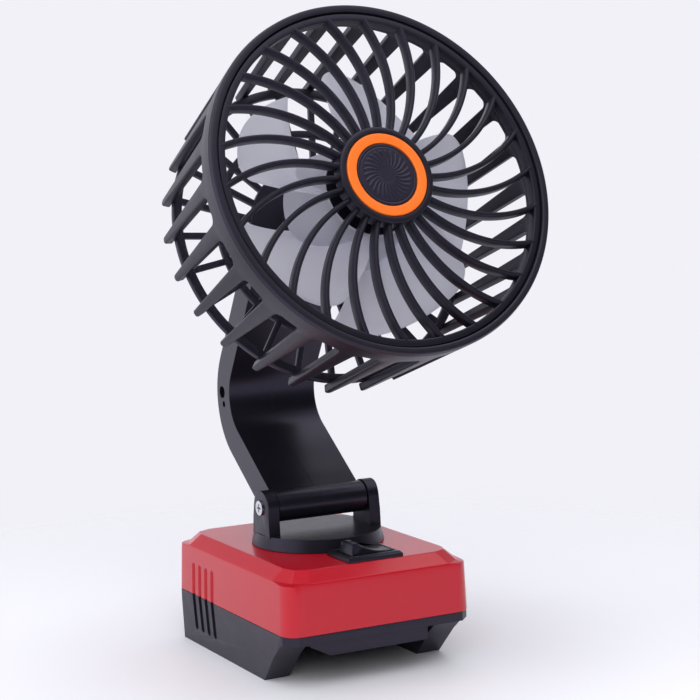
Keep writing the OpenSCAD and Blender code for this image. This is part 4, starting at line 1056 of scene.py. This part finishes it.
def product(tree: bpy.types.NodeTree, one: bpy.types.NodeSocket,
            other: bpy.types.NodeSocket) -> bpy.types.NodeSocket:
    """Adds a product to a material.

    Args:
        tree: The material's nodes.
        one: Socket of the first value.
        other: Socket of the second value.

    Returns:
        Socket of the product.
    """
    node = tree.nodes.new("ShaderNodeMath")
    node.operation = "MULTIPLY"
    tree.links.new(one, node.inputs[0])
    tree.links.new(other, node.inputs[1])
    return node.outputs["Value"]


@dataclass(frozen=True)
class SoftLight:
    """A square soft light.

    Attributes:
        name: Name of the light.
        place: Its place in metres.
        aim: Height in metres of the point on the Z axis that it faces.
        size: Its side in metres.
        watts: Its power.
        glossy: Whether surfaces mirror it.
    """

    name: str
    place: tuple[float, float, float]
    aim: float
    size: float
    watts: float
    glossy: bool = True

    def build(self) -> None:
        """Adds the light to the scene, turned from its place towards its aim."""
        data = bpy.data.lights.new(self.name, "AREA")
        data.shape, data.size, data.energy = "SQUARE", self.size, self.watts
        obj = bpy.data.objects.new(self.name, data)
        obj.location = self.place
        obj.visible_glossy = self.glossy
        ahead = Vector((0, 0, self.aim)) - Vector(self.place)
        obj.rotation_euler = ahead.to_track_quat("-Z", "Y").to_euler()
        bpy.context.scene.collection.objects.link(obj)


@dataclass
class Studio:
    """Camera, lights, floor and backdrop.

    Attributes:
        place_mm: Place of the camera.
        yaw_deg: Its turn to the right from the row frame's +Y.
        pitch_deg: How far it looks down.
        roll_deg: Its turn about its own axis.
        lens_mm: Its focal length on a sensor 36 mm wide.
        floor_half: Half the floor's side in metres.
        floor_colour: Colour of the floor.
        backdrop: Colour that the camera sees behind the object.
        around: Colour of the light from all round.
        sky: Strength of that light from the front and from the back.
        ground: Its strength from below the horizon.
        overhead: Share of it that comes from straight above.
        underneath: Share of it that comes from straight below.
        floor_painted_glow: Painted glow of the floor that only the camera sees, away from the object. Near
            the object the glow is left out, so the floor there stays darker as painted shade round it.
        painted_glow_span: Distances in metres between which the painted glow comes in.
        fade_span: Distances in metres between which the floor fades into the backdrop.
        lights: The soft lights.
    """

    place_mm: tuple[float, float, float] = (-330.449, -649.388, 198.36)
    yaw_deg: float = 28.13
    pitch_deg: float = 6.124
    roll_deg: float = -1.506
    lens_mm: float = 95.56
    floor_half: float = 1.2
    floor_colour: str = "f0f0f6"
    backdrop: str = "f2f1f8"
    around: str = "f0f0fa"
    sky: tuple[float, float] = (0.12, 1.15)
    ground: float = 1.1
    overhead: float = 0.4
    underneath: float = 0.5
    floor_painted_glow: float = 0.085
    painted_glow_span: tuple[float, float] = (0.05, 0.15)
    fade_span: tuple[float, float] = (0.11, 0.4)
    lights: tuple[SoftLight, ...] = (
        SoftLight("left_soft", (-1.0, -0.1, 0.7), 0.12, 1.4, 5.8),
        SoftLight("top_soft", (0.1, -0.2, 1.2), 0.1, 1.5, 10),
        SoftLight("front_fill", (-0.5, -1.2, 0.9), 0.1, 1.1, 12.2, glossy=False),
    )

    def camera(self) -> None:
        """Sets the camera up from yaw, pitch and roll."""
        yaw, pitch, roll = (math.radians(v) for v in (self.yaw_deg, self.pitch_deg, self.roll_deg))
        level = math.cos(pitch)
        ahead = np.array([math.sin(yaw) * level, math.cos(yaw) * level, -math.sin(pitch)])
        right = np.array([math.cos(yaw), -math.sin(yaw), 0.0])
        up = np.cross(right, ahead)
        right, up = (math.cos(roll) * right + math.sin(roll) * up,
                     -math.sin(roll) * right + math.cos(roll) * up)
        place = np.array(self.place_mm) * MM
        data = bpy.data.cameras.new("camera")
        data.lens, data.sensor_width, data.sensor_height = self.lens_mm, 36.0, 36.0
        data.clip_start, data.clip_end = 0.01, 20
        obj = bpy.data.objects.new("camera", data)
        bpy.context.scene.collection.objects.link(obj)
        columns = np.column_stack([right, up, -ahead])
        obj.matrix_world = Matrix([[*columns[i], place[i]] for i in range(3)] + [[0, 0, 0, 1]])
        bpy.context.scene.camera = obj

    def floor(self) -> None:
        """A pale floor that fades into the backdrop away from the object. It has a painted glow that only
        the camera sees, left out near the object as painted shade round it.
        """
        half = self.floor_half
        mesh = bpy.data.meshes.new("floor")
        corners = [(-half, -half, 0), (half, -half, 0), (half, half, 0), (-half, half, 0)]
        mesh.from_pydata(corners, [], [(0, 1, 2, 3)])
        obj = bpy.data.objects.new("floor", mesh)
        bpy.context.scene.collection.objects.link(obj)
        made = bpy.data.materials.new("pale_floor")
        made.use_nodes = True
        tree = made.node_tree
        shader = tree.nodes["Principled BSDF"]
        shader.inputs["Base Color"].default_value = srgb(self.floor_colour)
        shader.inputs["Roughness"].default_value = 0.55
        shader.inputs["Specular IOR Level"].default_value = 0.15
        shader.inputs["Emission Color"].default_value = srgb(self.backdrop)
        place = tree.nodes.new("ShaderNodeTexCoord").outputs["Object"]
        length = tree.nodes.new("ShaderNodeVectorMath")
        length.operation = "LENGTH"
        tree.links.new(place, length.inputs[0])
        path = tree.nodes.new("ShaderNodeLightPath")
        # Painted glow for camera rays only: none near the object, so the floor round it stays darker as
        # painted shade.
        painted_lift = ramp(tree, length.outputs["Value"], self.painted_glow_span, (0.0, self.floor_painted_glow))
        glow = product(tree, path.outputs["Is Camera Ray"], painted_lift)
        tree.links.new(glow, shader.inputs["Emission Strength"])
        fade = ramp(tree, length.outputs["Value"], self.fade_span, (0.0, 1.0))
        clear = tree.nodes.new("ShaderNodeBsdfTransparent")
        mix = tree.nodes.new("ShaderNodeMixShader")
        tree.links.new(fade, mix.inputs["Fac"])
        tree.links.new(shader.outputs["BSDF"], mix.inputs[1])
        tree.links.new(clear.outputs["BSDF"], mix.inputs[2])
        tree.links.new(mix.outputs["Shader"], tree.nodes["Material Output"].inputs["Surface"])
        mesh.materials.append(made)

    def world(self) -> None:
        """Sets a pale backdrop for the camera and, for the light, a bright back and a dark front."""
        world = bpy.data.worlds.new("surrounding")
        bpy.context.scene.world = world
        world.use_nodes = True
        tree = world.node_tree
        seen = tree.nodes["Background"]
        seen.inputs["Color"].default_value = srgb(self.backdrop)
        seen.inputs["Strength"].default_value = 1.0
        around = tree.nodes.new("ShaderNodeBackground")
        place = tree.nodes.new("ShaderNodeTexCoord").outputs["Generated"]
        split = tree.nodes.new("ShaderNodeSeparateXYZ")
        tree.links.new(place, split.inputs["Vector"])
        back = ramp(tree, split.outputs["Y"], (-0.75, 0.6), self.sky)
        low = ramp(tree, split.outputs["Z"], (-0.2, 0.0), (1.0, 0.0))
        level = tree.nodes.new("ShaderNodeMix")
        level.inputs["B"].default_value = self.ground
        tree.links.new(low, level.inputs["Factor"])
        tree.links.new(back, level.inputs["A"])
        above = ramp(tree, split.outputs["Z"], (0.08, 0.5), (1.0, self.overhead))
        below = ramp(tree, split.outputs["Z"], (-0.5, -0.2), (self.underneath, 1.0))
        strength = product(tree, level.outputs["Result"], product(tree, above, below))
        tree.links.new(strength, around.inputs["Strength"])
        around.inputs["Color"].default_value = srgb(self.around)
        path = tree.nodes.new("ShaderNodeLightPath")
        mix = tree.nodes.new("ShaderNodeMixShader")
        tree.links.new(path.outputs["Is Camera Ray"], mix.inputs["Fac"])
        tree.links.new(around.outputs["Background"], mix.inputs[1])
        tree.links.new(seen.outputs["Background"], mix.inputs[2])
        tree.links.new(mix.outputs["Shader"], tree.nodes["World Output"].inputs["Surface"])

    def build(self) -> None:
        """Sets the whole studio up."""
        self.camera()
        self.floor()
        self.world()
        for light in self.lights:
            light.build()
        bpy.context.scene.view_settings.view_transform = "Standard"


@dataclass
class RedShell:
    """The upper shell: leaning walls with round corners, grip grooves and a faceted chamfer.

    Attributes:
        half: Half the width and half the length at the seam.
        seam_z: Height of the seam to the lower shell.
        chamfer_z: Height at which the chamfer starts.
        top_z: Height of the top.
        lean: How far the walls lean in up to the chamfer.
        chamfer_in: How far the chamfer runs in.
        corner_r: Radius of the upright corners.
        facet_r: Radius of the facets' corners.
        facet_low: A corner's facet marks at the foot of the chamfer, as steps in from the square corner.
        facet_top: The same at the top.
        groove_y: Places of the grip grooves along the walls.
        groove_half: Half the width of a groove.
        groove_deep: Depth of a groove.
        groove_top: Height at which the grooves end.
    """

    half: tuple[float, float] = (40.0, 51.75)
    seam_z: float = 20.9
    chamfer_z: float = 40.3
    top_z: float = 44.5
    lean: float = 0.6
    chamfer_in: float = 5.2
    corner_r: float = 6.6
    facet_r: float = 1.4
    facet_low: tuple[tuple[float, float], ...] = ((0.0, 12.6), (3.5, 4.2), (9.4, 0.0))
    facet_top: tuple[tuple[float, float], ...] = ((0.0, 8.2), (2.0, 2.3), (7.4, 0.0))
    groove_y: tuple[float, ...] = (15.8, 21.8, 27.8, 33.8)
    groove_half: float = 1.5
    groove_deep: float = 0.9
    groove_top: float = 34.0

    def corner_marks(self, facet: float, rise: float) -> np.ndarray:
        """Places three outline marks of a corner.

        At facet 0 they are the outer polygon of the round corner; at 1 they are the chamfer's
        facets, from the lower ones at rise 0 to the upper ones at rise 1.

        Args:
            facet: Share of the facets.
            rise: Share of the way up the chamfer.

        Returns:
            Steps inwards from the square corner, (3, 2).
        """
        turn = np.radians([15, 45, 75])
        reach = self.corner_r / math.cos(math.radians(15))
        round_marks = self.corner_r - reach * np.stack([np.cos(turn), np.sin(turn)], 1)
        flat_marks = np.array(self.facet_low) * (1 - rise) + np.array(self.facet_top) * rise
        return round_marks * (1 - facet) + flat_marks * facet

    def outline(self, x: float, y: float, facet: float, rise: float, fillet: float) -> np.ndarray:
        """Draws the outline at one height: four corners of three marks each, with divided side walls.

        Args:
            x: Half the width.
            y: Half the length.
            facet: Share of the facets at the corners.
            rise: Share of the way up the chamfer.
            fillet: Radius at each mark.

        Returns:
            The closed outline, (n, 2), with the same number of points at every height.
        """
        marks = self.corner_marks(facet, rise)
        corners = []
        for sx, sy in ((-1, -1), (1, -1), (1, 1), (-1, 1)):
            order = marks if sx * sy > 0 else marks[::-1]
            corners += [(sx * (x - m[0]), sy * (y - m[1]), fillet) for m in order]
        ring = arc_corners(corners, 4)
        steps = np.array([-1.55, -1.42, -1.2, -1.0, 0.0, 1.0, 1.2, 1.42, 1.55])
        wall_y = np.concatenate([middle + steps for middle in self.groove_y])
        stride = np.abs(np.diff(ring[:, 1], append=ring[:1, 1]))
        first, second = (int(np.argmax(stride * (np.sign(ring[:, 0]) == side))) + 1 for side in (1, -1))
        right = np.column_stack([np.full(len(wall_y), x), wall_y])
        left = np.column_stack([np.full(len(wall_y), -x), wall_y[::-1]])
        return np.concatenate([ring[:first], right, ring[first:second], left, ring[second:]])

    def carved(self, ring: np.ndarray, z: float) -> np.ndarray:
        """Pushes the side walls in at the grooves: depth times a smooth step across and along each.

        Args:
            ring: The outline at one height, (n, 2).
            z: Its height.

        Returns:
            The outline with its grooves, (n, 2).
        """
        away = np.abs(ring[:, 1:] - np.array(self.groove_y)).min(1)
        end = max(0.0, z - (self.groove_top - self.groove_half))
        across = np.hypot(away, end)
        push = self.groove_deep * (1 - smooth_step(across, self.groove_half - 0.5, self.groove_half + 0.05))
        push = np.where(np.abs(ring[:, 0]) > self.half[0] - 3, push, 0)
        return np.column_stack([ring[:, 0] - np.sign(ring[:, 0]) * push, ring[:, 1]])

    def surface(self) -> Surface:
        """Skins the shell from the seam to the top, closed below and above.

        Returns:
            A closed surface in the row frame.
        """
        x, y = self.half
        low, high, slope = self.chamfer_z, self.top_z, self.lean + self.chamfer_in
        wall = np.concatenate([[21.6, 24, 28, 31.5, 32.2], np.linspace(32.6, 34.2, 9), [35.5, 37]])
        profile = np.concatenate([
            arc_corners([(1.2, self.seam_z, 0), (0.0, self.seam_z, 0.4), (self.lean, low, 1.4),
                         (slope, high, 1.0), (slope + 1.5, high, 0)], 6),
            np.column_stack([self.lean * (wall - self.seam_z) / (low - self.seam_z), wall])])
        profile = profile[np.lexsort((profile[:, 0], np.round(profile[:, 1], 4)))]
        seam = profile[:, 1] < self.seam_z + 0.01
        profile = np.concatenate([profile[seam][::-1], profile[~seam]])
        rings = []
        for inset, z in profile:
            facet = float(smooth_step(np.array(z), low - 0.5, low + 0.3))
            rise = min(max((z - low) / (high - low), 0.0), 1.0)
            fillet = self.corner_r * (1 - facet) + self.facet_r * facet
            ring = self.carved(self.outline(x - inset, y - inset, facet, rise, fillet), z)
            rings.append(np.column_stack([ring, np.full(len(ring), z)]))
        return lofted(np.array(rings))

    def build(self) -> None:
        """Builds and dresses the shell."""
        piece("red_cover", self.surface(), Body.BASE, RED.material(), ("base_upper_shell",),
              crease_deg=14)


@dataclass
class Switch:
    """The power switch: a bezel with slanted edges and a rocker with a hump and a hollow top.

    Attributes:
        x: Place of its middle across the base.
        y: Place of its middle along the base.
        base_z: Height of the shell's top.
        size: Width, length and height of the bezel.
        slant: Width of the bezel's slanted edges.
        window: Width and length of the opening for the rocker.
        body: Width, length and depth of the body below the shell's top.
        rocker: Width and length of the rocker.
        below: How far the rocker reaches below the shell's top.
        draw: Share of its width by which the hump is drawn in at its highest.
    """

    x: float = 1.3
    y: float = -36.5
    base_z: float = 44.5
    size: tuple[float, float, float] = (23.6, 18.6, 2.2)
    slant: float = 1.0
    window: tuple[float, float] = (19.2, 13.6)
    body: tuple[float, float, float] = (19.2, 15.2, 10.9)
    rocker: tuple[float, float] = (18.0, 12.4)
    below: float = 3.2
    draw: float = 0.42

    def loop(self, width: float, depth: float, corner: float, z: float) -> np.ndarray:
        """Draws a level rounded rectangle about the switch's middle.

        Args:
            width: Its size across the base.
            depth: Its size along the base.
            corner: Radius of its corners.
            z: Its height.

        Returns:
            Its points, (n, 3).
        """
        w, d = width / 2, depth / 2
        ring = arc_corners([(-w, -d, corner), (w, -d, corner), (w, d, corner), (-w, d, corner)], 5)
        return np.column_stack([ring[:, 0] + self.x, ring[:, 1] + self.y, np.full(len(ring), z)])

    def bezel(self) -> Surface:
        """Skins the bezel and the body below it from loops up the outside and down the inside.

        Returns:
            A closed surface in the row frame.
        """
        (w, d, high), (ww, wd), (bw, bd, deep) = self.size, self.window, self.body
        low, slant = self.base_z, self.slant
        top, flat = low + high, 2 * slant
        rows = [(bw, bd, 0.4, low - deep), (bw, bd, 0.4, low), (w - 0.3, d - 0.3, 0.5, low),
                (w, d, 0.6, low + 0.2), (w, d, 0.6, top - slant - 0.15),
                (w - 0.1, d - 0.1, 0.6, top - slant + 0.12),
                (w - flat + 0.3, d - flat + 0.3, 0.5, top - 0.16),
                (w - flat - 0.2, d - flat - 0.2, 0.5, top), (ww + 0.5, wd + 0.5, 0.5, top),
                (ww + 0.15, wd + 0.15, 0.45, top - 0.08), (ww, wd, 0.4, top - 0.35),
                (ww, wd, 0.4, low - deep + 1.2)]
        return lofted(np.array([self.loop(*row) for row in rows]))

    def hump(self) -> Surface:
        """Makes the rocker from a side profile: a rounded hump at the left, a hollow run to the right.

        The run falls with the power 2.6 of the way that is left. Above the bezel the profile is drawn
        in towards the middle: its half width is multiplied by 1 - draw times the share of the height
        to the power 1.5, so that the hump is a dome.

        Returns:
            A closed surface in the row frame.
        """
        half, side = self.rocker[0] / 2, self.rocker[1] / 2
        top = self.base_z + self.size[2]
        foot = self.base_z - self.below
        left, right = self.x - half, self.x + half
        run = np.linspace(0, 1, 15)
        hollow = np.column_stack([left + 4.3 + run * (right - left - 4.8),
                                  top + 0.25 + 3.35 * (1 - run) ** 2.6])
        profile = np.concatenate([
            arc_corners([(right - 0.1, top + 0.1, 0.4), (right - 2.6, foot, 2.0),
                         (left + 2.6, foot, 2.0), (left + 0.25, top - 0.6, 0.6),
                         (left + 1.3, top + 4.05, 1.0), (left + 3.9, top + 4.0, 0.9)], 5),
            hollow])
        body = slab(profile[::-1], -side, side, 0.6, 0.6, 4)
        height = np.clip((body.points[:, 1] - top - 0.5) / 3.5, 0, 1)
        across = body.points[:, 2] * (1 - self.draw * height ** 1.5)
        points = np.column_stack([body.points[:, 0], across + self.y, body.points[:, 1]])
        return Surface(points, body.faces).outward()

    def build(self) -> None:
        """Builds and dresses the bezel and the rocker."""
        dress = BLACK_SWITCH.material()
        piece("switch_bezel", self.bezel(), Body.BASE, dress, ("switch_housing",))
        piece("switch_hump", self.hump(), Body.ROCKER, dress, ("switch_rocker",))


@dataclass
class Base:
    """The lower shell of the base.

    Attributes:
        edge: Rounding of its outer edges.
        top_z: Height of its seam to the upper shell.
    """

    edge: float = 0.5
    top_z: float = 20.9

    def outer(self, middles: np.ndarray) -> np.ndarray:
        """Rounds only what shows: the outer walls, the feet and the front panel.

        Args:
            middles: Middles of the edges, (n, 3), in millimetres.

        Returns:
            Share of the rounding for each edge: all of it, half at the seam or none inside.
        """
        x, y, z = np.abs(middles[:, 0]), middles[:, 1], middles[:, 2]
        walls = (x > 37.9) | (y < -44) | (y > 49)
        panel = (y < -26) & (z < 16.6) & (x > 27)
        return np.where(walls | panel | (z < 0.3), np.where(z > self.top_z - 0.1, 0.5, 1.0), 0.0)

    def build(self) -> None:
        """Dresses the lower shell."""
        rounded_copy("base_lower_shell", Body.BASE, self.edge, BLACK, self.outer, 3)


@dataclass
class Carrier:
    """The turntable with its ears, the folding arm and the head's bracket.

    Attributes:
        edge: Rounding of the turntable and the bracket.
        arm_edge: Rounding of the arm.
        bolt_edge: Rounding of bolts and nuts.
        arm_half: Half the arm's width.
        table_z: Height from which the turntable shows.
        holes: Places (y, z) of the holes in the arm's sides.
        hole_r: Radius round a hole's middle in which its edges lie.
        hole_share: Share of the arm's rounding that the rims of its holes get.
        seam_share: Share of it that the seam gets.
    """

    edge: float = 0.6
    arm_edge: float = 0.9
    bolt_edge: float = 0.2
    arm_half: float = 19.5
    table_z: float = 44.6
    holes: tuple[tuple[float, float], ...] = ((44.82, 100.91), (19.99, 148.69), (43.43, 96.06))
    hole_r: float = 3.4
    hole_share: float = 0.3
    seam_share: float = 0.7

    def table_outer(self, middles: np.ndarray) -> np.ndarray:
        """Rounds the turntable only above the shell's top."""
        return (middles[:, 2] > self.table_z) * 1.0

    def arm_outer(self, middles: np.ndarray) -> np.ndarray:
        """Rounds the arm's outer borders fully, its seam less and the rims of its holes least.

        Args:
            middles: Middles of the edges, (n, 3), in millimetres.

        Returns:
            Share of the rounding for each edge.
        """
        side = np.abs(middles[:, 0]) > self.arm_half - 0.15
        seam = np.abs(middles[:, 0]) < 0.05
        hole = np.zeros(len(middles), dtype=bool)
        for y, z in self.holes:
            hole |= np.hypot(middles[:, 1] - y, middles[:, 2] - z) < self.hole_r
        return np.where(side, np.where(hole, self.hole_share, 1.0), np.where(seam, self.seam_share, 0.0))

    def build(self) -> None:
        """Dresses the turntable, the arm halves, the bracket and the bolts."""
        rounded_copy("turntable", Body.TURNTABLE, self.edge, BLACK_FRAME, self.table_outer, 3)
        rounded_copy("arm_left_half", Body.ARM, self.arm_edge, BLACK_ARM, self.arm_outer, 3)
        rounded_copy("arm_right_half", Body.ARM, self.arm_edge, BLACK_ARM, self.arm_outer, 3)
        rounded_copy("head_bracket", Body.HEAD, self.edge, BLACK_FRAME, None, 3)
        for node, body in (("hinge_bolt", Body.TURNTABLE), ("pivot_bolt", Body.HEAD),
                           ("hinge_nut", Body.TURNTABLE), ("pivot_nut", Body.HEAD)):
            rounded_copy(node, body, self.bolt_edge, ZINC)


def main() -> None:
    """Builds every sub-assembly in order."""
    logging.basicConfig(level=logging.INFO, format="%(message)s")
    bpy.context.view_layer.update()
    dress_nodes()
    RedShell().build()
    Base().build()
    Switch().build()
    Carrier().build()
    Cage().build()
    Grille().build()
    Impeller().build()
    Studio().build()


if __name__ == "__main__":
    main()
